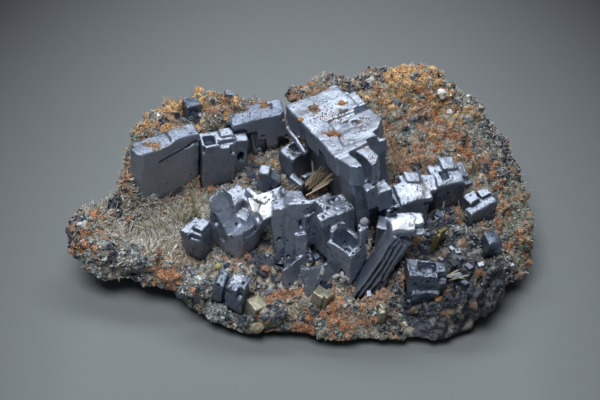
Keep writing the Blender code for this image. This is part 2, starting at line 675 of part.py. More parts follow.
def cut_pockets(matrix, pieces):
    """Cut the matrix back from every piece's root, leaving the clearance."""
    for piece in pieces:
        roots = piece.sockets or [
            box for box in piece.boxes if box == piece.boxes[0] or reaches_matrix(*box)
        ]
        for number, (frame, low, high) in enumerate(roots):
            low = [v - CLEARANCE - STAGGER * number for v in low]
            high = [v + CLEARANCE + STAGGER * number for v in high]
            tool = make_box(f"{piece.name}_pocket", frame, low, high)
            use_tool(matrix, tool, "DIFFERENCE")


def build():
    """Make the specimen."""
    clear_scene()
    rock = make_material("rusty_druse", (0.20, 0.16, 0.12), 0.9, 0.0)
    galena = make_material("galena", (0.40, 0.42, 0.47), 0.38, 1.0)
    pyrite = make_material("pyrite", (0.50, 0.45, 0.28), 0.35, 1.0)
    matrix = make_matrix(rock)
    pieces = [
        plate_block(galena), leaning_block(galena), pitted_block(galena), left_block(galena),
        hollow_cluster(galena), notched_cube(galena), left_small_cube(galena),
        right_plates(galena), parallel_blades(galena), low_block(galena), dark_bar(galena),
        front_slabs(galena), star_flakes(galena), *lone_cubes(galena), *small_cubes(galena),
        *pyrite_groups(pyrite),
    ]
    keep_pieces_apart(pieces)
    cut_pockets(matrix, pieces)
    for made in bpy.data.objects:
        made.location += mm(PLAN_SHIFT)


if __name__ == "__main__":
    build()
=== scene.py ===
"""Looks of a skeletal galena specimen: refined crystals, pyrite, and a druse of needles and grains.

Lengths in the tables are millimetres, MM turns them into metres, and places are plan places on
the specimen: x to its right, y to its back, z up from the surface that it rests on.
"""
import itertools
import json
import math

import bmesh
import bpy
import numpy as np
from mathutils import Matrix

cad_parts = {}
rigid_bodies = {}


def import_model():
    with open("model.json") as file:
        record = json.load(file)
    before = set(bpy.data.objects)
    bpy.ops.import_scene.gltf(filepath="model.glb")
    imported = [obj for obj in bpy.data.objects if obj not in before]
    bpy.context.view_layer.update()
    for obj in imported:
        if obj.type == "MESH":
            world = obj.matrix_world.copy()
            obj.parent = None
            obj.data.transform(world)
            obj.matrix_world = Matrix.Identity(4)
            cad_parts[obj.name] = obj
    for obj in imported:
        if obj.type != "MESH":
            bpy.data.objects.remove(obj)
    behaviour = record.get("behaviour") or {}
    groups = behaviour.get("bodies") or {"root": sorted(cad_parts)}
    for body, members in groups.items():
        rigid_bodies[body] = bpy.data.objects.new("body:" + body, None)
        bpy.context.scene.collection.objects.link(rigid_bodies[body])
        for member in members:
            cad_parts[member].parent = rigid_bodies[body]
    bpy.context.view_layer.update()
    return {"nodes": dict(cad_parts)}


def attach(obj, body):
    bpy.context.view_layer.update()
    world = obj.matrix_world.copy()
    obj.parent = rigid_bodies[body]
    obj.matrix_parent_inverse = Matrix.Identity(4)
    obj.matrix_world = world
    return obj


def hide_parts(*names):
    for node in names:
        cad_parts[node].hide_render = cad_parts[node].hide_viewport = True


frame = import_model()

MM = 0.001


# Noise


def mixed(cell, seed):
    """A repeatable number from 0 to 1 for each whole-number cell: its indices stirred together."""
    stir = cell[..., 0] * 73856093 ^ cell[..., 1] * 19349663 ^ cell[..., 2] * 83492791
    stir = (stir ^ (seed * 2654435761)) & 0xFFFFFFFF
    stir = ((stir ^ (stir >> 15)) * 2246822519) & 0xFFFFFFFF
    stir = ((stir ^ (stir >> 13)) * 3266489917) & 0xFFFFFFFF
    return ((stir ^ (stir >> 16)) & 0xFFFFFF) / 0xFFFFFF


def swell(points, size, seed):
    """Smooth noise from -1 to 1: the cell numbers blended with eased shares across each cell."""
    at = points / size
    cell = np.floor(at).astype(np.int64)
    share = at - cell
    share = share * share * (3 - 2 * share)
    total = np.zeros(len(points))
    for corner in itertools.product((0, 1), repeat=3):
        corner = np.array(corner)
        weight = np.prod(np.where(corner == 1, share, 1 - share), axis=1)
        total += weight * mixed(cell + corner, seed)
    return 2 * total - 1


def rough_swell(points, size, seed, octaves=3):
    """Noise with detail: swells of half the size and half the height added, octave by octave."""
    total = sum(swell(points, size / 2**k, seed + k) / 2**k for k in range(octaves))
    return total / sum(0.5**k for k in range(octaves))


def pebbles(points, size, seed, square=False):
    """Scattered centres, one in each cell: the nearest one's distance and the next one's, in
    cells, the nearest one's number from 0 to 1, and the way from it. Square distances are the
    largest of the three offsets."""
    at = points / size
    cell = np.floor(at).astype(np.int64)
    first = np.full(len(points), 9.0)
    second = first.copy()
    number = np.zeros(len(points))
    way = np.zeros((len(points), 3))
    for step in itertools.product((-1, 0, 1), repeat=3):
        near = cell + np.array(step)
        centre = near + np.stack([mixed(near, seed + 11 * k) for k in (1, 2, 3)], axis=1)
        offset = at - centre
        if square:
            distance = np.abs(offset).max(axis=1)
        else:
            distance = np.sqrt((offset**2).sum(axis=1))
        closer = distance < first
        second = np.where(closer, first, np.minimum(second, distance))
        number = np.where(closer, mixed(near, seed + 77), number)
        way[closer] = offset[closer]
        first = np.where(closer, distance, first)
    return first, second, number, way


def ramp(values, low, high):
    """0 below low and 1 above high, eased between."""
    share = np.clip((values - low) / (high - low), 0, 1)
    return share * share * (3 - 2 * share)


# Meshes


def mesh_arrays(mesh):
    """A mesh's points and point normals in millimetres and its triangles."""
    mesh.calc_loop_triangles()
    points = np.empty(len(mesh.vertices) * 3, np.float32)
    normals = points.copy()
    mesh.vertices.foreach_get("co", points)
    mesh.vertices.foreach_get("normal", normals)
    triangles = np.empty(len(mesh.loop_triangles) * 3, np.int32)
    mesh.loop_triangles.foreach_get("vertices", triangles)
    return (
        points.reshape(-1, 3).astype(float) / MM,
        normals.reshape(-1, 3).astype(float),
        triangles.reshape(-1, 3),
    )


def edge_bend(mesh, points, normals):
    """How far the skin bends at each point: the mean lean of its edges out of its own plane,
    spread once over the neighbours. Above 0 is a ridge and below 0 is a crease."""
    ends = np.empty(len(mesh.edges) * 2, np.int32)
    mesh.edges.foreach_get("vertices", ends)
    a, b = ends.reshape(-1, 2).T
    way = points[b] - points[a]
    way /= np.linalg.norm(way, axis=1, keepdims=True) + 1e-9
    count = np.bincount(a, minlength=len(points)) + np.bincount(b, minlength=len(points))
    lean_a, lean_b = -(way * normals[a]).sum(axis=1), (way * normals[b]).sum(axis=1)
    bend = np.bincount(a, lean_a, len(points)) + np.bincount(b, lean_b, len(points))
    bend /= np.maximum(count, 1)
    around = np.bincount(a, bend[b], len(points)) + np.bincount(b, bend[a], len(points))
    return (bend + around / np.maximum(count, 1)) / 2


def worn(mesh, points, rounds):
    """The points after several rounds of moving each one halfway to its neighbours' mean, which
    wears the ridges round and leaves flat faces as they are."""
    ends = np.empty(len(mesh.edges) * 2, np.int32)
    mesh.edges.foreach_get("vertices", ends)
    a, b = ends.reshape(-1, 2).T
    count = np.bincount(a, minlength=len(points)) + np.bincount(b, minlength=len(points))
    for _ in range(rounds):
        mean = np.stack(
            [
                np.bincount(a, points[b, axis], len(points)) + np.bincount(b, points[a, axis], len(points))
                for axis in range(3)
            ],
            axis=1,
        ) / np.maximum(count, 1)[:, None]
        points = (points + mean) / 2
    return points


def set_points(mesh, points):
    """Put points in millimetres into a mesh."""
    mesh.vertices.foreach_set("co", (points * MM).astype(np.float32).ravel())
    mesh.update()


def set_tint(mesh, name, colours):
    """Store a colour for each point under a name that materials read."""
    layer = mesh.color_attributes.new(name, "FLOAT_COLOR", "POINT")
    values = np.ones((len(mesh.vertices), 4), np.float32)
    values[:, : colours.shape[1]] = colours
    layer.data.foreach_set("color", values.ravel())


def merged_copy(node, name):
    """A CAD node's form as a new object, with its loose triangles joined."""
    form = bmesh.new()
    form.from_mesh(frame["nodes"][node].data)
    bmesh.ops.remove_doubles(form, verts=form.verts, dist=1e-7)
    mesh = bpy.data.meshes.new(name)
    form.to_mesh(mesh)
    form.free()
    made = bpy.data.objects.new(name, mesh)
    bpy.context.scene.collection.objects.link(made)
    return made


def settle(made):
    """Replace an object's mesh by what its modifiers make of it."""
    bpy.context.view_layer.update()
    seen = made.evaluated_get(bpy.context.evaluated_depsgraph_get())
    old = made.data
    made.data = bpy.data.meshes.new_from_object(seen)
    made.modifiers.clear()
    bpy.data.meshes.remove(old)
    made.data.name = made.name
    return made


def even_net(made, spacing):
    """Remake an object's skin as an even net of small squares."""
    net = made.modifiers.new("even net", "REMESH")
    net.mode = "VOXEL"
    net.voxel_size = spacing * MM
    return settle(made)


def finish_piece(made, material, smooth=True):
    """Give a piece its material, its shading and its place on the specimen."""
    made.data.materials.clear()
    made.data.materials.append(material)
    made.data.polygons.foreach_set("use_smooth", [smooth] * len(made.data.polygons))
    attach(made, "root")
    return made


def piece_from(name, points, faces, material, smooth=False):
    """A new piece from points in millimetres and faces of one size."""
    mesh = bpy.data.meshes.new(name)
    mesh.vertices.add(len(points))
    mesh.vertices.foreach_set("co", (points * MM).astype(np.float32).ravel())
    sides = faces.shape[1]
    mesh.loops.add(faces.size)
    mesh.loops.foreach_set("vertex_index", faces.astype(np.int32).ravel())
    mesh.polygons.add(len(faces))
    mesh.polygons.foreach_set("loop_start", np.arange(0, faces.size, sides, dtype=np.int32))
    mesh.update(calc_edges=True)
    made = bpy.data.objects.new(name, mesh)
    bpy.context.scene.collection.objects.link(made)
    return finish_piece(made, material, smooth)


def linear(red, green, blue):
    """A colour read from a picture, 0 to 255, as the light values that a shader takes."""
    values = np.array((red, green, blue)) / 255
    return np.where(values <= 0.04045, values / 12.92, ((values + 0.055) / 1.055) ** 2.4)


# Finishes


def new_material(name):
    """A material with its main shader, and shorthands for adding nodes and joining them to it."""
    material = bpy.data.materials.new(name)
    material.use_nodes = True
    tree = material.node_tree
    shader = tree.nodes["Principled BSDF"]

    def node(kind, links=(), **values):
        made = tree.nodes.new(kind)
        for key, value in values.items():
            if hasattr(made, key):
                setattr(made, key, value)
            else:
                made.inputs[key.replace("_", " ")].default_value = value
        for socket, source in dict(links).items():
            tree.links.new(source, made.inputs[socket])
        return made.outputs

    def join(source, socket):
        tree.links.new(source, shader.inputs[socket])

    return material, shader, node, join


def galena_finish(name):
    """Lead-grey metal. One tint says how dull, how rusty and how dark each place is: dull places are
    dark and speckled, with painted shade in creases and a painted highlight on ridges, rust is matte,
    and pits, cracks and creases are painted near black as shade. Another tint says how white each
    place is painted as a highlight and how many small black dots it has."""
    material, shader, node, join = new_material(name)
    place = node("ShaderNodeTexCoord")["Object"]
    wear = node("ShaderNodeAttribute", attribute_name="wear")["Color"]
    parts = node("ShaderNodeSeparateColor", {"Color": wear})
    cloud = node("ShaderNodeTexNoise", {"Vector": place}, Scale=420.0, Detail=5.0, Roughness=0.6)["Fac"]
    speck = node("ShaderNodeTexNoise", {"Vector": place}, Scale=2300.0, Detail=3.0, Roughness=0.7)["Fac"]
    flecks = node("ShaderNodeMapRange", {"Value": speck}, From_Min=0.35, From_Max=0.66)["Result"]
    uneven = node("ShaderNodeMath", {0: parts["Red"], 1: flecks}, operation="MULTIPLY")["Value"]
    # dullness from the tint, flecked; its share also carries painted shade in creases and a painted highlight on
    # ridges
    dullness_and_painted_light = node(
        "ShaderNodeMath", {0: parts["Red"], 1: uneven}, operation="ADD", use_clamp=True
    )["Value"]
    tone = node("ShaderNodeMix", {"Factor": cloud}, data_type="RGBA",
                A=(0.39, 0.45, 0.56, 1), B=(0.54, 0.60, 0.71, 1))["Result"]
    looks = node("ShaderNodeAttribute", attribute_name="looks")["Color"]
    looks = node("ShaderNodeSeparateColor", {"Color": looks})
    # painted highlight: places mixed towards near white by the tint's first channel
    tone = node("ShaderNodeMix", {"Factor": looks["Red"], "A": tone}, data_type="RGBA",
                B=(0.84, 0.88, 0.94, 1))["Result"]
    dull = node("ShaderNodeMix", {"Factor": dullness_and_painted_light, "A": tone}, data_type="RGBA",
                B=(0.098, 0.130, 0.195, 1))["Result"]
    dots = node("ShaderNodeTexVoronoi", {"Vector": place}, Scale=1250.0)["Distance"]
    dot = node("ShaderNodeMapRange", {"Value": dots}, From_Min=0.20, From_Max=0.36,
               To_Min=1.0, To_Max=0.0)["Result"]
    gathered = node("ShaderNodeTexNoise", {"Vector": place}, Scale=330.0, Detail=3.0)["Fac"]
    share = node("ShaderNodeMapRange", {"Value": gathered}, From_Min=0.42, From_Max=0.58,
                 To_Min=0.0, To_Max=0.75)["Result"]
    dotted = node("ShaderNodeMath", {0: dot, 1: share}, operation="MULTIPLY")["Value"]
    dotted = node("ShaderNodeMath", {0: dotted, 1: looks["Green"]}, operation="MULTIPLY")["Value"]
    # near black for pits, cracks and creases as painted shade, and for the small black dots
    pits = node("ShaderNodeMath", {0: parts["Blue"], 1: dotted}, operation="MAXIMUM")["Value"]
    pitted = node("ShaderNodeMix", {"Factor": pits, "A": dull}, data_type="RGBA",
                  B=(0.02, 0.021, 0.025, 1))["Result"]
    rusty = node("ShaderNodeMix", {"Factor": parts["Green"], "A": pitted}, data_type="RGBA",
                 B=(0.24, 0.135, 0.075, 1))["Result"]
    join(rusty, "Base Color")
    metal = node("ShaderNodeMapRange", {"Value": parts["Green"]}, To_Min=0.82, To_Max=0.0)["Result"]
    join(metal, "Metallic")
    gloss = node("ShaderNodeMapRange", {"Value": cloud}, From_Min=0.3, From_Max=0.7,
                 To_Min=0.42, To_Max=0.56)["Result"]
    matte = node("ShaderNodeMapRange", {"Value": parts["Green"]}, To_Min=0.0, To_Max=0.5)["Result"]
    rough = node("ShaderNodeMath", {0: matte, 1: gloss}, operation="ADD", use_clamp=True)["Value"]
    join(rough, "Roughness")
    grain = node("ShaderNodeBump", {"Height": speck}, Strength=0.22, Distance=0.00012)["Normal"]
    swells = node("ShaderNodeBump", {"Height": cloud, "Normal": grain}, Strength=0.18,
                  Distance=0.0003)["Normal"]
    join(swells, "Normal")
    return material


def grain_finish(name, rough, metallic=0.0, bump=0.3, scale=1500.0, vary=0.35, gloss=False):
    """A finish that takes each place's tint and mottles it finely. With gloss, the tint "shine"
    makes places smoother."""
    material, shader, node, join = new_material(name)
    place = node("ShaderNodeTexCoord")["Object"]
    tint = node("ShaderNodeAttribute", attribute_name="tint")["Color"]
    mottle = node("ShaderNodeTexNoise", {"Vector": place}, Scale=scale, Detail=4.0, Roughness=0.65)["Fac"]
    shade = node("ShaderNodeMapRange", {"Value": mottle}, From_Min=0.3, From_Max=0.7,
                 To_Min=1 - vary, To_Max=1 + vary)["Result"]
    join(node("ShaderNodeVectorMath", {0: tint, "Scale": shade}, operation="SCALE")["Vector"],
         "Base Color")
    spread = node("ShaderNodeMapRange", {"Value": mottle}, From_Min=0.3, From_Max=0.7,
                  To_Min=max(rough - 0.1, 0.05), To_Max=min(rough + 0.1, 1.0))["Result"]
    if gloss:
        shine = node("ShaderNodeAttribute", attribute_name="shine")["Fac"]
        spread = node("ShaderNodeMath", {0: spread, 1: shine}, operation="SUBTRACT",
                      use_clamp=True)["Value"]
    join(spread, "Roughness")
    shader.inputs["Metallic"].default_value = metallic
    join(node("ShaderNodeBump", {"Height": mottle}, Strength=bump, Distance=0.0003)["Normal"],
         "Normal")
    return material


# Galena: each crystal's turn, roll and lean, how ragged its edges are, how stepped its faces,
# how pitted on top and on the sides, how dull on top and on the sides, how rusty, its side ribs
CRYSTALS = {
    "galena_plate": (29, -5, -6, 0.45, 0.04, 0.10, 0.02, 0.02, 0.26, 0.25, 0.00),
    "galena_leaning_block": (14, -5, 7, 0.35, 0.03, 0.12, 0.02, 0.50, 0.16, 0.12, 0.00),
    "galena_pitted_block": (17, 3, 7, 0.40, 0.03, 0.05, 0.02, 0.15, 0.30, 0.05, 0.00),
    "galena_left_block": (31, 3, 7, 0.30, 0.03, 0.10, 0.01, 0.42, 0.18, 0.10, 0.00),
    "galena_hollow_cluster": (35, 2, 2, 1.05, 0.10, 0.50, 0.15, 0.08, 0.18, 0.04, 0.00),
    "galena_notched_cube": (-43, 5, 3, 0.95, 0.08, 0.22, 0.08, 0.08, 0.04, 0.06, 0.00),
    "galena_left_small_cube": (-34, 6, 8, 1.00, 0.12, 0.30, 0.15, 0.15, 0.40, 0.05, 0.00),
    "galena_right_plates": (12, 1, 7, 0.85, 0.05, 0.10, 0.08, 0.12, 0.36, 0.08, 0.00),
    "galena_parallel_blades": (4, 29, -4, 0.80, 0.06, 0.12, 0.06, 0.05, 0.14, 0.04, 0.03),
    "galena_low_block": (4, 2, 6, 1.00, 0.12, 0.50, 0.25, 0.40, 0.55, 0.06, 0.00),
    "galena_dark_bar": (32, -2, 10, 0.70, 0.06, 0.20, 0.10, 0.12, 0.55, 0.08, 0.00),
    "galena_front_cube": (-21, 10, 12, 1.10, 0.10, 0.30, 0.15, 0.45, 0.50, 0.10, 0.00),
    "galena_star_flakes": (20, 0, 8, 0.70, 0.04, 0.20, 0.10, 0.10, 0.35, 0.10, 0.00),
    "galena_back_cube": (24, 3, 8, 0.70, 0.05, 0.20, 0.10, 0.55, 0.50, 0.20, 0.00),
    "galena_right_cube": (20, 8, 10, 0.80, 0.05, 0.10, 0.05, 0.60, 0.60, 0.05, 0.00),
    "galena_cube_with_hollow": (-50, 8, 4, 0.70, 0.04, 0.10, 0.05, 0.12, 0.34, 0.06, 0.00),
    "galena_rounded_cube": (-14, 4, 10, 0.70, 0.04, 0.10, 0.05, 0.10, 0.34, 0.03, 0.00),
    "galena_low_cube": (-36, 10, 8, 0.60, 0.04, 0.10, 0.05, 0.10, 0.34, 0.03, 0.00),
    "galena_bar": (40, -4, 8, 0.60, 0.04, 0.10, 0.05, 0.10, 0.34, 0.03, 0.00),
}
CRYSTAL_NET = 0.27
# Places on the crystals that differ: node, middle, reach, what changes, how much. The bright spots are painted
# whiter as a highlight.
SPOTS = [
    ("galena_left_block", (-43.8, 3.8, 37.1), (2.8, 1.5, 2.0), "rust", 0.8),
    ("galena_leaning_block", (-11.9, 22.6, 36.9), (1.4, 1.4, 1.2), "rust", 1.0),
    ("galena_leaning_block", (-17.5, 21.0, 36.9), (1.6, 1.6, 1.2), "rust", 0.6),
    ("galena_plate", (3.2, 11.6, 44.3), (1.6, 2.4, 1.5), "rust", 0.8),
    ("galena_plate", (11.4, 13.4, 44.8), (1.3, 1.1, 1.3), "rust", 0.9),
    ("galena_plate", (11.8, 9.6, 44.6), (1.8, 1.6, 1.3), "dull", 0.8),
    ("galena_plate", (-0.8, 6.8, 44.2), (0.8, 0.8, 1.2), "rust", 0.9),
    ("galena_plate", (8.6, -0.8, 45.4), (3.4, 1.8, 1.4), "rust", 0.6),
    ("galena_plate", (13.6, 1.2, 43.6), (5.2, 5.2, 1.6), "dull", 0.4),
    ("galena_plate", (14.6, -3.0, 43.4), (3.0, 2.4, 1.6), "rust", 0.5),
    ("galena_plate", (-5.5, 4.5, 35.5), (5.0, 5.0, 4.0), "dull", 0.7),
    ("galena_notched_cube", (-12.4, -17.4, 32.2), (5.6, 6.4, 3.8), "bright", 1.0),
    ("galena_front_cube", (-19.6, -31.0, 18.0), (3.0, 3.0, 2.0), "bright", 0.5),
    ("galena_parallel_blades", (28.6, -26.4, 33.2), (6.0, 5.0, 1.6), "bright", 0.6),
    ("galena_right_plates", (33.0, -13.4, 34.4), (6.0, 5.0, 1.4), "bright", 0.35),
]
# Cracks, sunk and painted near black as shade: node, the line they follow, half width
CRACKS = [
    ("galena_left_block", [(-42.2, 2.2, 31.7), (-39.4, 4.0, 32.3), (-37.6, 5.1, 32.6), (-34.5, 7.2, 33.3),
                           (-31.7, 9.1, 34.2)], 0.32),
    ("galena_notched_cube", [(-14.8, -15.2, 33.4), (-12.6, -16.3, 32.7), (-11.0, -16.8, 32.2),
                             (-8.8, -15.0, 33.2)], 0.26),
    ("galena_notched_cube", [(-12.0, -16.5, 32.5), (-12.8, -19.5, 31.2)], 0.26),
    ("galena_plate", [(1.0, 7.6, 44.1), (3.4, 5.0, 44.2), (6.4, 2.4, 44.4)], 0.2),
    ("galena_leaning_block", [(-16.0, 15.6, 31.0), (-11.0, 16.6, 31.4), (-6.4, 17.8, 32.4)], 0.18),
]


def crack_share(points, line, half):
    """One in a crack and none beside it, by the distance from the line's pieces."""
    nearest = np.full(len(points), 9.0)
    for start, end in zip(np.array(line[:-1]), np.array(line[1:])):
        way = end - start
        along = np.clip((points - start) @ way / (way @ way), 0, 1)
        away = np.linalg.norm(points - start - along[:, None] * way, axis=1)
        nearest = np.minimum(nearest, away)
    return 1 - ramp(nearest, half * 0.6, half * 1.7)


def own_axes(turn, roll, lean):
    """A crystal's own directions as columns: leaned, then rolled, then turned about the vertical."""
    turn, roll, lean = np.radians((turn, roll, lean))
    about_z = np.array([(math.cos(turn), -math.sin(turn), 0), (math.sin(turn), math.cos(turn), 0), (0, 0, 1)])
    about_y = np.array([(math.cos(roll), 0, math.sin(roll)), (0, 1, 0), (-math.sin(roll), 0, math.cos(roll))])
    about_x = np.array([(1, 0, 0), (0, math.cos(lean), -math.sin(lean)), (0, math.sin(lean), math.cos(lean))])
    return about_z @ about_y @ about_x


def bell(points, middle, reach):
    """One at the middle, falling off as a bell with the distance measured in reaches."""
    return np.exp(-((((points - np.array(middle)) / np.array(reach)) ** 2).sum(axis=1)))


def crystal(node, number, material):
    """A galena crystal: its solid on an even fine net. Points slide along the skin by noise so that
    edges run unevenly, and sink by square steps, square pits, chipped ridges and ribs, all in the
    crystal's own directions. Wear is kept as a tint, with painted shade in pits, cracks and creases
    and painted highlights on ridges and on the spots listed for it."""
    turn, roll, lean, ragged, step, top_pits, side_pits, top_dull, side_dull, rust, ribs = CRYSTALS[node]
    made = even_net(merged_copy(node, node.replace("galena_", "crystal_")), CRYSTAL_NET)
    seed = 100 * number
    points, _, _ = mesh_arrays(made.data)
    warp = np.stack([rough_swell(points, 6.5, seed + 3 + k, 3) for k in range(3)], axis=1)
    swayed = 0.9 * ragged * np.stack([swell(points, 9.0, seed + 23 + k) for k in range(3)], axis=1)
    set_points(made.data, worn(made.data, points, 7) + (0.3 + 0.35 * ragged) * warp + swayed)
    points, normals, _ = mesh_arrays(made.data)
    own = points @ own_axes(turn, roll, lean)
    own_normals = normals @ own_axes(turn, roll, lean)
    bend = edge_bend(made.data, points, normals)
    ridge, crease = ramp(bend, 0.05, 0.14), ramp(-bend, 0.05, 0.14)
    up = ramp(normals[:, 2], 0.5, 0.85)

    sway = np.stack(
        [
            rough_swell(own, 2.6, seed + 7 * k, 2) + 0.5 * swell(own, 0.9, seed + 7 * k + 3)
            for k in range(3)
        ],
        axis=1,
    )
    sway -= normals * (sway * normals).sum(axis=1, keepdims=True)
    _, _, plot, _ = pebbles(own * (1, 1, 0.6), 3.6, seed + 31, square=True)
    steps = step * np.floor(plot * 3)
    share = top_pits * up + side_pits * (1 - up)
    gathered = np.clip(0.6 + 0.9 * swell(own, 4.5, seed + 57), 0, 2)
    holes = np.zeros(len(points))
    for size, seed_step, depth in ((1.5, 43, 1.0), (0.9, 44, 0.8)):
        first, _, chance, _ = pebbles(own + 0.5 * sway, size, seed + seed_step)
        half = 0.2 + 0.3 * (chance / np.maximum(share, 0.01))
        hole = (chance < share * gathered * 0.7) * (1 - ramp(first, half, half + 0.15))
        holes = np.maximum(holes, depth * hole)
    chips = ridge * ramp(rough_swell(own, 1.7, seed + 71, 2), 0.05, 0.45)
    side = 1 - np.abs(own_normals[:, 2])
    ribbing = ribs * side * np.sin((own[:, 0] + own[:, 1]) * 5.2 + 2 * swell(own, 3.0, seed + 81))
    eaten = np.clip(rough_swell(own, 3.4, seed + 95), 0.1, 1) - 0.1
    soft = 0.05 * rough_swell(own, 4.0, seed + 91, 2) + 0.9 * ragged * eaten * (0.35 + ridge)

    dull = (top_dull * up + side_dull * (1 - up)) * (1 + 0.5 * rough_swell(own, 3.2, seed + 61))
    # painted highlight on ridges, which lose most of their dullness, and painted shade in creases, which gain it
    dull = dull * (1 - 0.8 * ridge) + 0.35 * crease
    rusty = ramp(rough_swell(own, 3.0, seed + 62), 0.6 - rust, 0.9 - rust) * up
    rusty *= ramp(swell(own, 0.7, seed + 63), -0.1, 0.3)
    # painted shade: pits and creases darkened towards black
    dark = np.maximum(0.9 * holes, 0.5 * crease * ramp(swell(own, 2.0, seed + 64), -0.3, 0.3))
    ragged_edge = swell(own, 1.1, seed + 65)
    bright = np.zeros(len(points))
    for spot_node, middle, reach, what, amount in SPOTS:
        if spot_node != node:
            continue
        spot = amount * ramp(bell(points, middle, reach) + 0.3 * ragged_edge, 0.35, 0.6)
        if what == "rust":
            rusty = np.maximum(rusty, spot)
        elif what == "dull":
            dull = np.maximum(dull, spot)
        # painted highlight: these spots are painted whiter and lose their dullness and most of their dark
        elif what == "bright":
            dull, dark = dull * (1 - spot), dark * (1 - 0.7 * spot)
            bright = np.maximum(bright, spot)
        else:
            dark = np.maximum(dark, spot * ramp(swell(own, 1.4, seed + 66), -0.2, 0.3))
            holes = np.maximum(holes, 0.9 * spot)
    # painted shade: cracks darkened near black as well as sunk
    for crack_node, line, half in CRACKS:
        if crack_node == node:
            parted = crack_share(points + 0.15 * sway, line, half)
            dark, holes = np.maximum(dark, 0.95 * parted), np.maximum(holes, parted)
    inward = steps + 0.5 * holes + 0.35 * min(ragged, 0.6) * chips + ribbing + soft
    points += sway * 0.42 * ragged - normals * inward[:, None]
    set_points(made.data, points)
    # the first tint holds dullness, rust and dark, with the painted shade and highlight above in it
    set_tint(made.data, "wear", np.clip(np.stack([dull, rusty, dark], axis=1), 0, 1))
    # the second tint: the painted highlight share, and the share of small black dots, most on the tops
    set_tint(made.data, "looks", np.stack([bright, 0.12 + 0.88 * up, 0 * up], axis=1))
    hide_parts(node)
    return finish_piece(made, material)


def pyrite_crystal(node, number, material, colour):
    """A pyrite group on an even net, its faces ribbed by fine striations."""
    made = even_net(merged_copy(node, node.replace("pyrite_", "pyrite_crystal_")), 0.16)
    points, normals, _ = mesh_arrays(made.data)
    ribs = np.sin((points[:, 2] + 0.3 * points[:, 0]) * 9.0) * 0.04
    points += normals * (ribs + 0.08 * rough_swell(points, 1.2, 900 + number))[:, None]
    set_points(made.data, points)
    bend = edge_bend(made.data, points, normals)
    # painted highlight: ridges painted lighter, with random mottling
    shade = 0.9 + 0.35 * ramp(bend, 0.05, 0.2) + 0.25 * rough_swell(points, 1.1, 910 + number)
    set_tint(made.data, "tint", colour * shade[:, None])
    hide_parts(node)
    return finish_piece(made, material)


# The druse

# What grows in the crust: the colour of its ground, how far its clumps rise, their nodules'
# height, and how smooth it is
KINDS = ("needle", "rust", "brown", "gold", "grey", "dark", "rock")
GROUND = {
    "needle": (linear(184, 176, 162), 0.2, 0.22, 0.1),
    "rust": (linear(180, 128, 94), 1.3, 0.40, 0.0),
    "brown": (linear(160, 128, 106), 0.9, 0.40, 0.0),
    "gold": (linear(214, 174, 124), 1.4, 0.40, 0.0),
    "grey": (linear(140, 144, 142), 0.6, 0.36, 0.25),
    "dark": (linear(60, 69, 84), 0.7, 0.40, 0.42),
    "rock": (linear(132, 138, 126), 0.35, 0.24, 0.12),
}
WARM = [KINDS.index(name) for name in ("rust", "brown", "gold")]
PLAIN_MIX = (2.3, 0.5, 0.9, 0.12, 0.6, 0.22, 0.05)
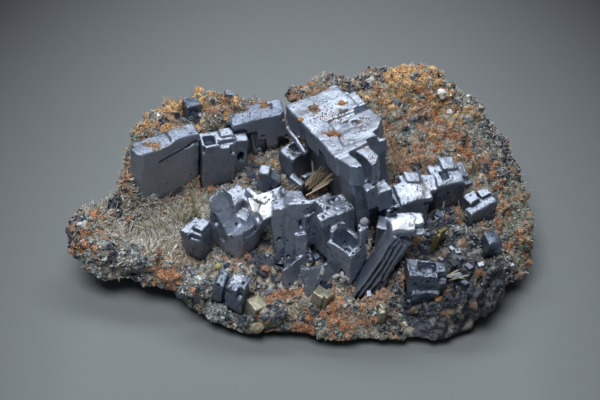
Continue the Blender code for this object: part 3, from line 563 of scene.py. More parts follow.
# Where the crusts lie: plan place, reach along x and y, what grows there, how strongly
CRUSTS = [
    (-64.5, -15.6, 3.2, 3.0, "rust", 9), (-61.6, -11.8, 3.0, 2.6, "rust", 9),
    (-57.8, -14.5, 2.4, 2.0, "rust", 7), (-60.5, -8.0, 2.6, 2.2, "rust", 8),
    (-65.5, -8.7, 2.0, 1.6, "rust", 5), (-57.0, -6.0, 2.4, 2.0, "rust", 6),
    (-48.5, -18.7, 1.8, 1.6, "rust", 7), (-44.3, -13.2, 2.4, 2.4, "rust", 9),
    (-39.4, -24.6, 4.8, 2.6, "rust", 11), (-39.9, -18.4, 3.0, 2.0, "rust", 6),
    (-36.8, -13.4, 2.2, 2.2, "brown", 8),
    (-52.6, -10.6, 2.0, 1.6, "rust", 7), (-50.0, -14.6, 1.6, 1.4, "rust", 7), (-41.6, -20.4, 2.0, 1.6, "rust", 8),
    (-33.4, -19.8, 2.4, 1.8, "rust", 7), (-46.6, -8.6, 1.4, 1.2, "rust", 5), (-34.2, -9.4, 1.6, 1.4, "brown", 6), (-7.3, -33.6, 3.6, 3.2, "rust", 6),
    (0.7, -38.2, 2.6, 1.8, "rust", 6), (10.6, -40.8, 2.2, 1.6, "rust", 7),
    (8.7, -35.5, 2.2, 1.8, "rust", 6), (16, -33.6, 10, 4.2, "brown", 5),
    (14, -36.5, 9, 2.2, "rust", 2.5), (35.7, 32.6, 9, 6, "gold", 9), (27.5, 33, 6, 5, "gold", 6),
    (24, 28, 5, 5, "gold", 4), (45, 24.5, 6, 6, "gold", 2.5), (38, 17, 10, 8, "rust", 4),
    (31, 11, 6, 7, "brown", 6), (49, 11.5, 5, 6, "rust", 4), (54.5, 5.4, 3.4, 3, "rust", 8),
    (60, -8.5, 2.4, 3, "rust", 7), (52.5, -11.5, 5, 1.8, "rust", 8), (62.5, -14.6, 3.4, 3.2, "rust", 10),
    (60.5, -0.9, 2, 2.4, "rust", 6), (45.2, -7.3, 2.2, 2, "rust", 4), (-45.7, 14, 6, 4, "gold", 6),
    (-37.2, 22, 7, 4, "gold", 6), (-26.7, 24, 7, 3.6, "gold", 3), (-8, 28, 12, 4, "brown", 5),
    (-53.4, -20.6, 7.0, 4.4, "dark", 10), (-52, -19, 8.0, 5.0, "grey", 8), (-9.1, -25.4, 4.4, 3.6, "dark", 12),
    (-14, -21.8, 3.4, 3, "dark", 10), (-68.5, -12, 2.4, 6, "dark", 14), (62, 19, 4, 9, "dark", 6),
    (54, -31, 12, 9, "dark", 16), (40, -38, 10, 6, "dark", 14), (66, 2, 4, 12, "rock", 9),
    (66, -18, 4, 8, "rock", 9), (-48, -10, 11, 8, "needle", 9), (-38, -6, 10, 7, "needle", 8),
    (-44, -18, 9, 4, "needle", 5), (-26, 1, 8, 4, "needle", 3), (-12, 2, 10, 7, "grey", 3),
    (2.5, 9, 5, 5, "brown", 3), (-10, -38, 6, 3, "dark", 9), (30, -35, 6, 3, "dark", 4),
    (52, -18, 8, 6, "grey", 4), (41, -12, 7, 5, "grey", 3), (-28, -34, 9, 6, "grey", 9),
    (-18, -40, 8, 3, "rock", 8), (30, -43, 18, 2.4, "rock", 6), (16, 31, 5, 4, "dark", 6),
    (48, 33, 6, 4, "grey", 3), (5, -20, 10, 5, "dark", 6), (27, -20, 8, 5, "dark", 8),
    (40, -24, 7, 7, "dark", 10), (56, 20, 5, 10, "grey", 3), (22, 24, 4, 6, "brown", 4),
    (46, -22, 6, 6, "dark", 6), (-56, -2, 3, 5, "dark", 5), (-58, -23, 8, 2.6, "needle", 5),
]


def crust_mix(points, normals):
    """The share of each kind at each point: the plain mix, raised by every crust that lies near
    as a bell of its distance, and by bare rock where the skin turns down to the sides."""
    mix = np.tile(np.array(PLAIN_MIX), (len(points), 1))
    warped = points[:, :2] + 1.6 * np.stack(
        [rough_swell(points, 5.0, 801), rough_swell(points, 5.0, 802)], axis=1
    )
    for x, y, reach_x, reach_y, kind, strength in CRUSTS:
        away = ((warped[:, 0] - x) / reach_x) ** 2 + ((warped[:, 1] - y) / reach_y) ** 2
        mix[:, KINDS.index(kind)] += strength * np.exp(-away)
    side = 1 - ramp(normals[:, 2], -0.25, 0.15)
    low = 1 - ramp(points[:, 2], 1.5, 5.0)
    bare = np.clip(side + low, 0, 1)[:, None]
    mix = mix * (1 - 0.9 * bare)
    mix[:, KINDS.index("rock")] += 8 * bare[:, 0]
    mix[:, KINDS.index("dark")] += 3.0 * bare[:, 0] * (swell(points, 9.0, 803) > 0.1)
    return mix / mix.sum(axis=1, keepdims=True)


def painted_light_and_shade(points):
    """Painted light and shade on the crusts, as a factor on their colours: a painted pool of light
    nearly half lighter along the front left, painted shade a third darker at the lower right and a
    little darker in the field at the right."""
    x, y, z = points.T
    front = ramp(-y, 8.0, 24.0) * (1 - ramp(x, 20.0, 34.0)) * ramp(z, 6.0, 10.0)
    corner = ramp(x, 34.0, 44.0) * ramp(-y, 16.0, 26.0)
    field = ramp(x, 18.0, 26.0) * ramp(y, -4.0, 4.0) * (1 - ramp(y, 24.0, 32.0))
    return 1 + 0.45 * front - 0.35 * corner - 0.10 * field


def clumps(points, normals):
    """The clump that each point belongs to, a scattered centre's cell: its kind, drawn from the
    mix by the clump's number, its dome from 0 at the rim to 1, its number, and the mix."""
    bent = points + 0.5 * np.stack([swell(points, 1.2, 831 + k) for k in range(3)], axis=1)
    first, second, number, _ = pebbles(bent, 2.5, 811)
    mix = crust_mix(points, normals)
    kind = (number[:, None] > np.cumsum(mix, axis=1)).sum(axis=1)
    dome = np.clip(1 - first**2, 0, 1) * ramp(second - first, 0.0, 0.25)
    return np.minimum(kind, len(KINDS) - 1), dome, number * 7.3 % 1, mix


def open_ground():
    """A grid of cells over the specimen that says which lie beside a crystal's skin."""
    cell = 0.6
    corner = np.array((-76.0, -50.0, -4.0))
    counts = (np.array((152.0, 100.0, 60.0)) / cell).astype(int)
    held = np.zeros(counts, bool)
    for made in bpy.data.objects:
        if made.name.startswith(("crystal_", "pyrite_crystal_")):
            points, _, _ = mesh_arrays(made.data)
            index = ((points - corner) / cell).astype(int)
            held[index[:, 0], index[:, 1], index[:, 2]] = True
    wide = held.copy()
    for axis in range(3):
        wide |= np.roll(wide, 1, axis) | np.roll(wide, -1, axis)

    around = held.astype(np.float32)
    for axis in range(3):
        around = sum(np.roll(around, step, axis) for step in range(-5, 6)) / 11
    beside = ramp(around, 0.0, 0.06)

    def near_crystal(points, grid="wide"):
        index = np.clip(((points - corner) / cell).astype(int), 0, counts - 1)
        grid = {"wide": wide, "close": held, "beside": beside}[grid]
        return grid[index[:, 0], index[:, 1], index[:, 2]]

    return near_crystal


BED_NET = 0.46
BED_SINK = 0.7
BED_SINK_BESIDE = 1.5
# The dark ridged rock at the lower right: its middle, its reach and the way its ridges run
RIDGED = ((50.0, -33.0, 10.0), (11.0, 9.0, 9.0), (-0.51, -0.86))


def druse_bed(material, near_crystal):
    """The rock under the needles: the matrix solid on an even net, its top sunk, its skin raised
    in clumps and nodules of each kind and in ridges, except in the pockets at the crystals' roots
    and on the resting face."""
    made = even_net(merged_copy("matrix", "druse_bed"), BED_NET)
    points, normals, _ = mesh_arrays(made.data)
    pocket = near_crystal(points) & (normals[:, 2] < 0.5)
    hidden = made.vertex_groups.new(name="hidden")
    hidden.add(np.flatnonzero(pocket | (normals[:, 2] < -0.3)).tolist(), 1.0, "REPLACE")
    thin = made.modifiers.new("thin the hidden skin", "DECIMATE")
    thin.ratio = 0.4
    thin.vertex_group = "hidden"
    settle(made)
    points, normals, _ = mesh_arrays(made.data)
    pocket = near_crystal(points) & (normals[:, 2] < 0.5)
    kind, dome, number, mix = clumps(points, normals)
    rise = np.array([GROUND[name][1] for name in KINDS])[kind]
    knobs = np.array([GROUND[name][2] for name in KINDS])[kind]
    fine, fine_second, fine_number, _ = pebbles(points, 0.95, 812)
    nodules = (1 - fine**2) * (0.5 + fine_number)
    lumps, lumps_second, lump_number, _ = pebbles(points, 4.6, 813)
    crumpled = (1 - lumps) * (0.4 + lump_number)
    middle, reach, way = RIDGED
    across = points[:, 0] * way[1] - points[:, 1] * way[0]
    waves = np.abs(np.sin(1.15 * across + 1.6 * rough_swell(points, 5.0, 816)))
    ridges = 1.5 * np.clip(1.6 * bell(points, middle, reach), 0, 1) * (1 - waves)
    lift = (
        -0.9 + rise * dome * (0.6 + 0.8 * number) + knobs * nodules + 1.3 * crumpled
        + 0.5 * rough_swell(points, 3.0, 814) + ridges
    )
    rests = ramp(points[:, 2], 0.0, 1.6)
    sink = BED_SINK + BED_SINK_BESIDE * near_crystal(points, "beside")
    points += normals * (lift * ~pocket * rests)[:, None]
    points[:, 2] -= sink * ramp(points[:, 2], 0.5, 5.0)
    points[:, 2] = np.maximum(points[:, 2], 0.0)
    set_points(made.data, points)
    colours = np.array([GROUND[name][0] for name in KINDS])[kind]
    colours = 0.75 * colours + 0.25 * (mix @ np.array([GROUND[name][0] for name in KINDS]))
    # painted light and shade: lighter along the front left, darker at the lower right and in the right field
    colours *= painted_light_and_shade(points)[:, None]
    # painted shade: clump tops lighter and their rims darker by the dome, with a random tone for each clump and
    # mottling
    shade = 0.62 + 0.5 * dome * np.clip(nodules, 0, 1) + 0.25 * number
    shade *= 1 + 0.3 * rough_swell(points, 1.2, 815)
    set_tint(made.data, "tint", np.clip(colours * shade[:, None], 0.005, 0.9))
    shine = np.array([GROUND[name][3] for name in KINDS])[kind]
    set_tint(made.data, "shine", np.repeat(shine[:, None], 3, axis=1))
    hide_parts("matrix")
    return finish_piece(made, material)


def places_on(mesh, count, draw, weigh):
    """Places on a mesh: triangles drawn by their area times a weight, a place drawn inside each."""
    points, normals, triangles = mesh_arrays(mesh)
    a, b, c = (points[triangles[:, k]] for k in range(3))
    weight = np.linalg.norm(np.cross(b - a, c - a), axis=1) / 2
    weight = weight * weigh((a + b + c) / 3, normals[triangles].mean(axis=1))
    if count is None:
        count = int(weight.sum())
    if not count:
        return np.zeros((0, 3)), np.zeros((0, 3))
    corners = triangles[draw.choice(len(triangles), count, p=weight / weight.sum())]
    share = np.sqrt(draw.random(count))[:, None]
    across = draw.random(count)[:, None]
    weights = (1 - share, share * (1 - across), share * across)
    places = sum(points[corners[:, k]] * weights[k] for k in range(3))
    facing = sum(normals[corners[:, k]] * weights[k] for k in range(3))
    return places, facing / np.linalg.norm(facing, axis=1, keepdims=True)


def upright_axes(along, draw):
    """Two directions square to each row's direction and to each other, turned at random."""
    side = np.cross(along, draw.normal(size=along.shape))
    side /= np.linalg.norm(side, axis=1, keepdims=True)
    return side, np.cross(along, side)


def many(template, faces, places, axes, scales, jitter=None):
    """Copies of a small form: its points scaled and turned for every place, with their faces."""
    local = template[None] * scales[:, None, :]
    if jitter is not None:
        local = local + jitter * scales[:, None, :]
    side, other, along = axes
    points = (
        local[..., 0:1] * side[:, None] + local[..., 1:2] * other[:, None]
        + local[..., 2:3] * along[:, None] + places[:, None]
    )
    shift = np.arange(len(places))[:, None, None] * len(template)
    points = points.reshape(-1, 3)
    points[:, 2] = np.maximum(points[:, 2], 0.02)
    return points, (faces[None] + shift).reshape(-1, faces.shape[1])


def needle_form(sides):
    """A prism with a pointed end: two rings and a tip, closed below by a fan."""
    angle = np.arange(sides) * 2 * math.pi / sides
    ring = np.stack([np.cos(angle), np.sin(angle)], axis=1)
    low = np.column_stack([ring, np.zeros(sides)])
    high = np.column_stack([ring * 0.86, np.full(sides, 0.84)])
    points = np.vstack([low, high, [(0, 0, 1.0)]])
    k = np.arange(sides)
    after = (k + 1) % sides
    walls = np.vstack([
        np.column_stack([k, after, sides + after]), np.column_stack([k, sides + after, sides + k]),
        np.column_stack([sides + k, sides + after, np.full(sides, 2 * sides)]),
        np.column_stack([np.zeros(sides - 2), k[2:], k[1:-1]]),
    ])
    return points, walls.astype(int)


def block_form():
    """A cube of twelve triangles."""
    points = np.array(list(itertools.product((-1, 1), repeat=3)), float)
    faces = np.array([
        (0, 1, 3), (0, 3, 2), (4, 6, 7), (4, 7, 5), (0, 4, 5), (0, 5, 1),
        (2, 3, 7), (2, 7, 6), (0, 2, 6), (0, 6, 4), (1, 5, 7), (1, 7, 3),
    ])
    return points, faces


def grain_form():
    """A grain of eight triangles, a point on each side of every axis."""
    points = np.array([(1, 0, 0), (-1, 0, 0), (0, 1, 0), (0, -1, 0), (0, 0, 1), (0, 0, -1)], float)
    faces = np.array([
        (0, 2, 4), (2, 1, 4), (1, 3, 4), (3, 0, 4), (2, 0, 5), (1, 2, 5), (3, 1, 5), (0, 3, 5),
    ])
    return points, faces


def tinted(colours, spread, draw, per_item, ends=None):
    """A tint for every point: each item's colour varied in light, and along it between ends."""
    light = np.exp(draw.normal(0, spread, len(colours)))[:, None]
    repeated = np.repeat(np.clip(colours * light, 0, 0.95)[:, None], per_item, axis=1)
    if ends is not None:
        repeated = np.clip(repeated * ends[None, :, None], 0, 0.95)
    return repeated.reshape(-1, 3)


PALETTES = {
    "needle": [linear(228, 230, 220), linear(212, 214, 204), linear(244, 244, 240),
               linear(214, 204, 186), linear(222, 218, 204)],
    "rust": [linear(200, 144, 104), linear(178, 122, 90), linear(210, 166, 128), linear(156, 108, 84)],
    "brown": [linear(184, 148, 124), linear(158, 126, 106), linear(206, 174, 146), linear(140, 112, 96)],
    "gold": [linear(226, 188, 136), linear(234, 204, 158), linear(216, 168, 116), linear(188, 146, 104)],
    "grey": [linear(150, 157, 156), linear(122, 129, 130), linear(186, 190, 186), linear(98, 105, 108)],
    "dark": [linear(62, 68, 80), linear(84, 92, 104), linear(46, 51, 61), linear(104, 112, 122)],
    "rock": [linear(138, 146, 132), linear(116, 124, 114), linear(158, 162, 146), linear(96, 102, 98)],
}
# Crusts that grow on the crystals' own faces: middle, reach, kind, grains to a square millimetre
PERCHED = [
    ((-43.8, 3.8, 37.1), (2.8, 1.5, 1.6), "gold", 8), ((-36.6, 11.4, 37.4), (1.6, 1.0, 1.6), "gold", 6),
    ((-11.9, 22.8, 37.0), (1.3, 1.2, 1.2), "rust", 8), ((-17.6, 20.9, 37.0), (1.6, 1.4, 1.2), "brown", 7),
    ((3.2, 11.4, 44.3), (1.5, 2.2, 1.2), "brown", 8), ((11.3, 13.6, 45.0), (1.2, 1.0, 1.2), "gold", 9),
    ((-0.8, 6.8, 44.2), (0.7, 0.8, 1.0), "gold", 9), ((8.8, -0.8, 45.4), (3.0, 1.4, 1.2), "rust", 9),
    ((14.4, -3.2, 43.6), (2.6, 1.8, 1.4), "brown", 8), ((17.8, 4.2, 44.6), (1.8, 2.6, 1.4), "brown", 7),
    ((-20.2, -9.4, 27.0), (3.2, 3.4, 2.4), "brown", 8), ((6.0, 21.5, 44.4), (2.0, 1.2, 1.4), "rust", 6),
    ((33.0, -12.0, 34.4), (2.0, 2.0, 1.6), "brown", 2), ((-24.0, 12.6, 34.6), (2.0, 2.2, 1.4), "grey", 3),
    ((19.2, -13.2, 44.0), (0.7, 2.6, 2.2), "brown", 9), ((8.0, 8.0, 44.5), (4.0, 3.0, 1.2), "brown", 6),
]


def perched_places(draw):
    """Places on the crystals' faces where crusts grow, with which way is out and their kind."""
    found = []
    for middle, reach, kind, density in PERCHED:
        for made in bpy.data.objects:
            if made.name.startswith("crystal_"):
                box = np.array([corner[:] for corner in made.bound_box]) / MM
                if (box.min(axis=0) < middle).all() and (box.max(axis=0) > middle).all():
                    at, out = places_on(
                        made.data, None, draw,
                        lambda spot, normal: density * bell(spot, middle, reach) * (normal[:, 2] > 0.2),
                    )
                    found.append((at, out, np.full(len(at), KINDS.index(kind))))
    return [np.concatenate(rows) for rows in zip(*found)]


def sown_places(bed, near_crystal, draw):
    """Places over the bed and the perched crusts, with which way is out and what grows there:
    mostly the clump's own kind, and else a kind drawn from the mix."""
    at, out = places_on(
        bed.data, 118000, draw, lambda spot, normal: 0.08 + 0.92 * ramp(normal[:, 2], -0.1, 0.4)
    )
    keep = ~near_crystal(at + out * 0.5, "close") & (at[:, 2] > 0.8)
    at, out = at[keep], out[keep]
    kind, _, _, mix = clumps(at + (0, 0, BED_SINK), out)
    drawn = (draw.random(len(at))[:, None] > np.cumsum(mix, axis=1)).sum(axis=1)
    strays = draw.random(len(at)) < np.where(np.isin(drawn, WARM), 0.08, 0.35)
    kind = np.where(strays, np.minimum(drawn, len(KINDS) - 1), kind)
    bare = mix[:, KINDS.index("dark")] + mix[:, KINDS.index("rock")]
    keep = draw.random(len(at)) > 0.9 * ramp(bare, 0.25, 0.75)
    at, out, kind = at[keep], out[keep], kind[keep]
    perched = perched_places(draw)
    return [np.concatenate(pair) for pair in zip((at, out, kind), perched)]


def sow_needles(at, out, draw, name, finish):
    """Quartz needles that fan out from scattered centres: each leans away from its own centre,
    longest in the pale field at the left."""
    pale = np.clip(1.4 * bell(at * (1, 1, 0), (-42, -9, 0), (20, 12, 1)), 0, 1)
    _, _, _, way = pebbles(at, 3.4, 821)
    along = out * 0.9 + way * 1.3 + draw.normal(0, 0.3, out.shape)
    along /= np.linalg.norm(along, axis=1, keepdims=True)
    length = (0.6 + 0.35 * draw.gamma(4.0, 0.5, len(at))) * (0.9 + 0.95 * pale)
    radius = draw.uniform(0.08, 0.17, len(at)) * (0.75 + 0.17 * length)
    side, other = upright_axes(along, draw)
    scales = np.stack([radius, radius * draw.uniform(0.6, 1.0, len(at)), length], axis=1)
    form, faces = needle_form(3)
    points, links = many(form, faces, at - along * 0.2, (side, other, along), scales)
    piece = piece_from(name, points, links, finish)
    palette = np.array(PALETTES["needle"])
    colours = palette[draw.integers(0, len(palette), len(at))] * (0.68 + 0.32 * pale)[:, None]
    ends = np.array([0.6] * 3 + [1.0] * 3 + [1.15])
    set_tint(piece.data, "tint", tinted(colours, 0.22, draw, 7, ends))
    return piece


def sow_grains(at, out, draw, name, kind, finish, form_of, low, high, heap, most):
    """Grains of one kind: small forms turned and stretched at random, heaped a little."""
    at, out = at[:most], out[:most]
    form, faces = form_of()
    size = low + (high - low) * draw.random(len(at)) ** 1.6
    along = out + draw.normal(0, 0.6, out.shape)
    along /= np.linalg.norm(along, axis=1, keepdims=True)
    side, other = upright_axes(along, draw)
    scales = size[:, None] * draw.uniform(0.6, 1.3, (len(at), 3))
    jitter = draw.normal(0, 0.2, (len(at), len(form), 3))
    seated = at + out * (heap * draw.random(len(at)))[:, None]
    points, links = many(form, faces, seated, (side, other, along), scales, jitter)
    piece = piece_from(name, points, links, finish)
    palette = np.array(PALETTES[kind])
    # painted light and shade on the grains' colours, weaker for rust and gold
    painted_light_factor = painted_light_and_shade(at) ** (0.35 if kind in ("rust", "gold") else 1.0)
    colours = palette[draw.integers(0, len(palette), len(at))] * painted_light_factor[:, None]
    set_tint(piece.data, "tint", tinted(colours, 0.25, draw, len(form)))
    return piece


def sow_spikes(at, out, draw, name, kind, finish, most):
    """Short coated needles that stand out from the middles of their clumps."""
    at, out = at[:most], out[:most]
    _, _, _, way = pebbles(at, 2.1, 822)
    along = out * 0.8 + way * 1.5 + draw.normal(0, 0.35, out.shape)
    along /= np.linalg.norm(along, axis=1, keepdims=True)
    length = draw.uniform(0.4, 1.1, len(at))
    radius = draw.uniform(0.09, 0.2, len(at))
    scales = np.stack([radius, radius * draw.uniform(0.6, 1.0, len(at)), length], axis=1)
    side, other = upright_axes(along, draw)
    form, faces = needle_form(3)
    points, links = many(form, faces, at - along * 0.15, (side, other, along), scales)
    piece = piece_from(name, points, links, finish)
    palette = np.array(PALETTES[kind])
    # painted light and shade on the spikes' colours, weaker for rust and gold
    painted_light_factor = painted_light_and_shade(at) ** (0.35 if kind in ("rust", "gold") else 1.0)
    colours = palette[draw.integers(0, len(palette), len(at))] * painted_light_factor[:, None]
    ends = np.array([0.55] * 3 + [1.0] * 3 + [1.15])
    set_tint(piece.data, "tint", tinted(colours, 0.25, draw, 7, ends))
    return piece


def make_druse(bed, near_crystal, finishes):
    """Sow needles and grains over the bed by what grows at each place."""
    draw = np.random.default_rng(5)
    at, out, kind = sown_places(bed, near_crystal, draw)
    rows = {name: np.flatnonzero(kind == index) for index, name in enumerate(KINDS)}
    spare = {name: draw.permutation(found) for name, found in rows.items()}
    needles = spare["needle"][:27000]
    half = len(needles) // 2
    for name, picked in (("quartz_needles", needles[:half]), ("quartz_needles_more", needles[half:])):
        sow_needles(at[picked], out[picked], draw, name, finishes["needle"])
    for name, kind_name, finish, form_of, low, high, heap, most in (
        ("rust_grains", "rust", "rust", grain_form, 0.10, 0.30, 0.12, 15000),
        ("brown_grains", "brown", "rust", grain_form, 0.10, 0.30, 0.12, 10000),
        ("golden_grains", "gold", "rust", grain_form, 0.10, 0.30, 0.12, 9000),
        ("grey_crystals", "grey", "grey", block_form, 0.12, 0.50, 0.2, 9000),
        ("dark_grains", "dark", "dark", block_form, 0.12, 0.42, 0.1, 5000),
        ("rock_grains", "rock", "rock", block_form, 0.12, 0.35, 0.1, 2000),
    ):
        picked = spare[kind_name]
        sow_grains(at[picked], out[picked], draw, name, kind_name, finishes[finish], form_of,
                   low, high, heap, most)
        if form_of is grain_form:
            rest = picked[most // 2 :]
            sow_spikes(at[rest], out[rest], draw, f"{name.split('_')[0]}_spikes", kind_name,
                       finishes["rust"], most // 3)


# Small galena cubes between the big ones: how many, the middle and the reach of where they lie
CUBE_FIELDS = [(150, (8, -20, 0), (18, 10, 1)), (110, (-8, 3, 0), (9, 7, 1)),
               (110, (42, -16, 0), (11, 10, 1)), (24, (-28, -33, 0), (8, 6, 1)),
               (90, (24, -7, 0), (5, 5, 1)), (30, (-30, 18, 0), (9, 5, 1))]


def small_cubes(bed, near_crystal, material):
    """Little galena cubes grown over the bed between the big ones, turned mostly alike."""
    draw = np.random.default_rng(11)
    sets = [
        places_on(bed.data, count, draw, lambda spot, normal: bell(spot * (1, 1, 0), middle, reach)
                  * ramp(normal[:, 2], 0.1, 0.5))
        for count, middle, reach in CUBE_FIELDS
    ]
    at, out = (np.concatenate(rows) for rows in zip(*sets))
    keep = ~near_crystal(at + out * 0.8, "close")
    at, out = at[keep], out[keep]
    along = (0, 0, 1) + draw.normal(0, 0.3, out.shape)
    along /= np.linalg.norm(along, axis=1, keepdims=True)
    side, other = upright_axes(along, draw)
    size = 0.35 + 1.0 * draw.random(len(at)) ** 2.2
    scales = size[:, None] * draw.uniform(0.55, 1.2, (len(at), 3))
    form, faces = block_form()
    points, links = many(form, faces, at + out * 0.3, (side, other, along), scales,
                         draw.normal(0, 0.06, (len(at), 8, 3)))
    piece = piece_from("small_galena_cubes", points, links, material)
    dull = np.repeat(draw.uniform(0.15, 0.8, len(at)), 8)
    set_tint(piece.data, "wear", np.stack([dull, 0 * dull, 0 * dull], axis=1))
    set_tint(piece.data, "looks", np.zeros((len(dull), 3)))
    return piece


# Single beads and lumps: middle, with no height where they sit on the crust, half sizes, colour,
# how lumpy
BEADS = [
    ((-24.7, -24.0, None), (1.05, 1.05, 1.0), linear(196, 196, 140), 0.08),
    ((-22.3, 17.4, None), (1.25, 1.25, 1.2), linear(104, 110, 118), 0.3),
    ((38.8, -33.4, None), (1.3, 1.0, 0.9), linear(160, 126, 84), 0.7),
    ((-13.4, -39.6, 5.6), (2.0, 1.3, 1.6), linear(170, 160, 136), 0.7),
    ((31.8, -35.6, 8.2), (1.6, 1.1, 1.3), linear(130, 118, 98), 0.7),
    ((-29.3, -31.6, 7.0), (0.9, 0.9, 2.0), linear(138, 142, 112), 0.5),
    ((-64.9, -12.1, None), (1.7, 1.4, 1.4), linear(206, 210, 216), 0.8),
    ((41.9, 27.4, None), (2.2, 1.6, 1.5), linear(226, 228, 226), 1.1),
    ((44.4, 24.6, None), (1.4, 1.1, 1.3), linear(222, 222, 220), 0.9),
    ((20.3, 31.4, None), (1.7, 1.3, 1.4), linear(206, 210, 210), 0.9),
    ((49.9, -20.6, None), (2.1, 1.7, 2.0), linear(136, 142, 142), 0.7),
    ((28.6, 25.4, None), (2.2, 1.8, 2.0), linear(112, 118, 124), 0.8),
    ((33.6, 20.4, None), (1.8, 1.6, 1.5), linear(108, 112, 116), 0.8),
    ((24.2, 20.6, None), (1.4, 1.2, 1.3), linear(100, 104, 110), 0.7),
    ((16.9, -25.6, 33.6), (1.4, 1.4, 1.3), linear(150, 156, 166), 0.15),
    ((3.2, 11.6, 44.4), (1.7, 1.5, 0.9), linear(124, 102, 84), 0.9),
    ((11.4, 13.4, 44.9), (1.2, 1.0, 0.8), linear(176, 126, 80), 0.9),
    ((11.4, 9.4, 44.7), (1.6, 1.4, 0.9), linear(108, 100, 94), 0.9),
    ((-0.8, 6.8, 44.3), (0.8, 0.7, 0.6), linear(188, 140, 88), 0.8),
    ((8.6, -0.8, 45.4), (1.9, 1.1, 0.8), linear(152, 114, 86), 0.9),
    ((14.6, -3.0, 43.5), (1.3, 1.2, 0.8), linear(122, 102, 88), 0.9),
]


def seated(middle, half, ground):
    """A lump's middle, sunk a little in the crust beside it where it has no height."""
    x, y, z = middle
    if z is None:
        z = ground[np.hypot(ground[:, 0] - x, ground[:, 1] - y) < 0.9, 2].max() - 0.45 * half[2]
    return np.array((x, y, z))


def beads(bed, material):
    """Balls and lumps: a net of angles round and over each one, its radius varied by noise."""
    rounds, rows = 20, 11
    turn, rise = np.meshgrid(
        np.arange(rounds) * 2 * math.pi / rounds, np.linspace(-1, 1, rows + 2)[1:-1] * math.pi / 2
    )
    ball = np.stack([np.cos(turn) * np.cos(rise), np.sin(turn) * np.cos(rise), np.sin(rise)], axis=-1)
    ball = np.vstack([ball.reshape(-1, 3), [(0, 0, -1), (0, 0, 1)]])
    k = np.arange(rounds)
    after = (k + 1) % rounds
    belts = [
        np.vstack([
            np.column_stack([row * rounds + k, row * rounds + after, (row + 1) * rounds + after]),
            np.column_stack([row * rounds + k, (row + 1) * rounds + after, (row + 1) * rounds + k]),
        ])
        for row in range(rows - 1)
    ]
    low, high = rows * rounds, rows * rounds + 1
    caps = [
        np.column_stack([after, k, np.full(rounds, low)]),
        np.column_stack([(rows - 1) * rounds + k, (rows - 1) * rounds + after, np.full(rounds, high)]),
    ]
    faces = np.vstack(belts + caps)
    ground, _, _ = mesh_arrays(bed.data)
    points, links, tints = [], [], []
    for number, (middle, half, colour, lumpy) in enumerate(BEADS):
        swollen = 1 + lumpy * rough_swell(ball + 5.0 * number, 0.9, 951)
        swollen -= 0.4 * lumpy * pebbles(ball + 5.0 * number, 0.8, 953)[0]
        points.append(seated(middle, half, ground) + ball * half * swollen[:, None])
        links.append(faces + number * len(ball))
        tints.append(np.clip(colour * (1 + 0.4 * lumpy * rough_swell(ball + 5.0 * number, 0.4, 952))[:, None], 0, 1))
    piece = piece_from("beads_and_lumps", np.vstack(points), np.vstack(links), material, True)
    set_tint(piece.data, "tint", np.vstack(tints))
    return piece


# Bundles of laths: middle of the feet, their reach, way they run, how far it varies, shortest,
# longest, half width, how many, colour
BUNDLES = [
    ((2.4, 0.8, 23.6), (1.9, 1.6, 0.4), (0.62, 0.10, 0.80), 0.24, 6.0, 10.0, 0.30, 34, linear(198, 182, 158)),
    ((-4.4, -1.2, 23.0), (2.0, 1.2, 0.3), (0.1, -0.1, 1.0), 0.6, 2.0, 4.5, 0.22, 26, linear(168, 152, 130)),
    ((-32.4, -3.4, 16.5), (1.2, 0.8, 0.3), (0.05, 0.05, 1.0), 0.22, 6.0, 11.5, 0.34, 7, linear(204, 190, 160)),
    ((-35.6, -4.6, 16.2), (3.4, 1.6, 0.3), (-0.1, 0.0, 1.0), 0.5, 3.0, 6.5, 0.24, 34, linear(208, 202, 182)),
    ((-44.0, -7.2, 15.4), (5.0, 2.0, 0.3), (0.0, 0.0, 1.0), 0.6, 2.6, 5.0, 0.22, 40, linear(210, 206, 190)),
    ((50.6, 3.4, 24.0), (0.9, 0.6, 0.3), (0.06, 0.0, 1.0), 0.12, 5.0, 8.5, 0.62, 3, linear(142, 146, 126)),
    ((41.0, -28.8, 14.8), (0.8, 0.8, 0.2), (0.92, -0.1, 0.34), 0.25, 4.0, 7.0, 0.36, 5, linear(184, 182, 168)),
    ((10.4, -29.6, 15.2), (5.0, 0.6, 1.2), (0.2, -0.3, 1.0), 0.6, 1.4, 2.6, 0.75, 9, linear(226, 228, 226)),
    ((27.0, 4.0, 29.0), (4.0, 6.0, 0.6), (0.0, -0.1, 1.0), 0.6, 2.0, 4.0, 0.22, 40, linear(176, 168, 144)),
    ((44.0, -12.0, 22.6), (6.0, 5.0, 0.6), (0.0, -0.1, 1.0), 0.7, 2.0, 4.0, 0.26, 30, linear(176, 176, 164)),
]


def quartz_laths(material):
    """Bundles of long flat needles: four-sided pointed prisms, twice as wide as they are thick."""
    draw = np.random.default_rng(23)
    feet, ways, scales, colours = [], [], [], []
    for middle, reach, way, vary, short, long, half, count, colour in BUNDLES:
        feet.append(np.array(middle) + draw.normal(0, 0.6, (count, 3)) * reach)
        ways.append(np.array(way) + draw.normal(0, vary, (count, 3)) * (1, 0.6, 0.3))
        width = half * draw.uniform(0.6, 1.3, count)
        length = draw.uniform(short, long, count)
        scales.append(np.stack([width, width * 0.5, length], axis=1))
        colours.append(np.tile(colour, (count, 1)))
    way = np.concatenate(ways)
    way /= np.linalg.norm(way, axis=1, keepdims=True)
    side, other = upright_axes(way, draw)
    form, faces = needle_form(4)
    axes = (side, other, way)
    points, links = many(form, faces, np.concatenate(feet), axes, np.concatenate(scales))
    piece = piece_from("quartz_laths", points, links, material)
    set_tint(piece.data, "tint", tinted(np.concatenate(colours), 0.18, draw, len(form)))
    return piece


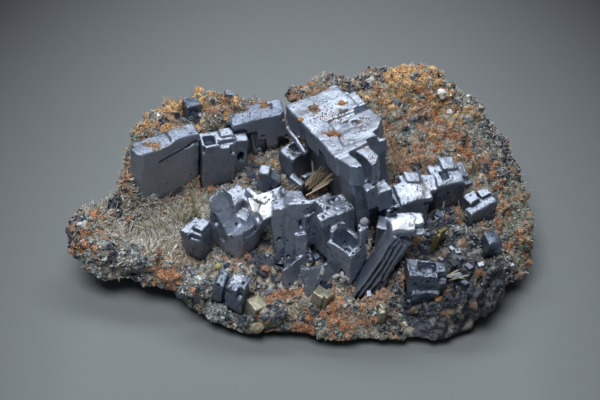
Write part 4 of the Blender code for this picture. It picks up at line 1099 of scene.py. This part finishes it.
def studio():
    """The pale grey floor, with painted shade darkening it away from the middle, the soft lights and the camera at
    the photograph's angle.
    """
    floor_mesh = bpy.data.meshes.new("floor")
    floor_mesh.from_pydata(
        [(-3, -3, 0), (3, -3, 0), (3, 3, 0), (-3, 3, 0)], [], [(0, 1, 2, 3)]
    )
    floor = bpy.data.objects.new("floor", floor_mesh)
    bpy.context.scene.collection.objects.link(floor)
    material, shader, node, join = new_material("paper_floor")
    place = node("ShaderNodeTexCoord")["Object"]
    spread = node("ShaderNodeMapping", {"Vector": place})
    spread_node = material.node_tree.nodes["Mapping"]
    spread_node.inputs["Location"].default_value = (0.0, 0.3, 0)
    spread_node.inputs["Scale"].default_value = (9.0, 5.6, 0)
    far = node("ShaderNodeVectorMath", {0: spread["Vector"]}, operation="LENGTH")["Value"]
    # painted shade: the floor darkens away from a middle near the specimen, as light falling off
    painted_falloff = node("ShaderNodeMapRange", {"Value": far}, From_Min=0.55, From_Max=1.45)["Result"]
    tone = node("ShaderNodeMix", {"Factor": painted_falloff}, data_type="RGBA",
                A=(0.222, 0.247, 0.258, 1), B=(0.02, 0.023, 0.028, 1))["Result"]
    join(tone, "Base Color")
    shader.inputs["Roughness"].default_value = 0.9
    floor_mesh.materials.append(material)

    def lamp(name, place, target, size, power, colour=(1, 1, 1)):
        data = bpy.data.lights.new(name, "AREA")
        data.shape = "RECTANGLE"
        data.size, data.size_y = size
        data.energy = power
        data.color = colour
        made = bpy.data.objects.new(name, data)
        bpy.context.scene.collection.objects.link(made)
        made.location = place
        way = np.array(target) - np.array(place)
        made.rotation_euler = (
            math.atan2(math.hypot(way[0], way[1]), -way[2]), 0, math.atan2(way[0], -way[1])
        )

    lamp("back_box", (0.04, 0.36, 0.52), (0, 0, 0), (0.60, 0.45), 5.8, (0.98, 0.99, 1.0))
    lamp("overhead_box", (-0.14, -0.22, 0.78), (0, 0, 0), (0.5, 0.5), 5.4, (0.98, 0.99, 1.0))
    lamp("front_card", (-0.15, -0.75, 0.12), (0, 0, 0.02), (0.9, 0.24), 2.5, (0.82, 0.91, 1.0))

    world = bpy.data.worlds.new("studio")
    bpy.context.scene.world = world
    world.use_nodes = True
    world.node_tree.nodes["Background"].inputs["Color"].default_value = (0.70, 0.80, 0.95, 1)
    world.node_tree.nodes["Background"].inputs["Strength"].default_value = 0.05

    pitch = math.radians(42.0)
    target = np.array((-0.00105, 0.0009, 0.018))
    ahead = np.array((0.0, math.cos(pitch), -math.sin(pitch)))
    data = bpy.data.cameras.new("camera")
    data.lens = 90.0
    data.sensor_width = 36.0
    data.clip_start = 0.01
    camera = bpy.data.objects.new("camera", data)
    bpy.context.scene.collection.objects.link(camera)
    camera.location = target - ahead * 0.45
    camera.rotation_euler = (math.pi / 2 - pitch, 0, 0)
    bpy.context.scene.camera = camera
    bpy.context.scene.view_settings.view_transform = "Standard"


lead_grey = galena_finish("galena")
for number, node in enumerate(CRYSTALS):
    crystal(node, number, lead_grey)
pyrite_metal = grain_finish("pyrite", 0.34, metallic=0.45, bump=0.25, scale=900.0, vary=0.2)
for number, node in enumerate(n for n in frame["nodes"] if n.startswith("pyrite_")):
    olive = node == "pyrite_upper_right"
    pyrite_crystal(node, number, pyrite_metal, linear(132, 124, 84) if olive else linear(184, 182, 160))
near_crystal = open_ground()
bed = druse_bed(
    grain_finish("druse_bed", 0.82, bump=0.7, scale=1900.0, vary=0.4, gloss=True), near_crystal
)
finishes = {
    "needle": grain_finish("quartz_needle", 0.36, bump=0.1, vary=0.15),
    "rust": grain_finish("iron_rust", 0.92, bump=0.4, vary=0.25),
    "grey": grain_finish("grey_quartz", 0.3, bump=0.15, vary=0.2),
    "dark": grain_finish("dark_sphalerite", 0.34, metallic=0.2, bump=0.2, vary=0.25),
    "rock": grain_finish("green_rock", 0.8, bump=0.4, vary=0.3),
}
make_druse(bed, near_crystal, finishes)
small_cubes(bed, near_crystal, lead_grey)
beads(bed, finishes["rock"])
quartz_laths(finishes["needle"])
studio()
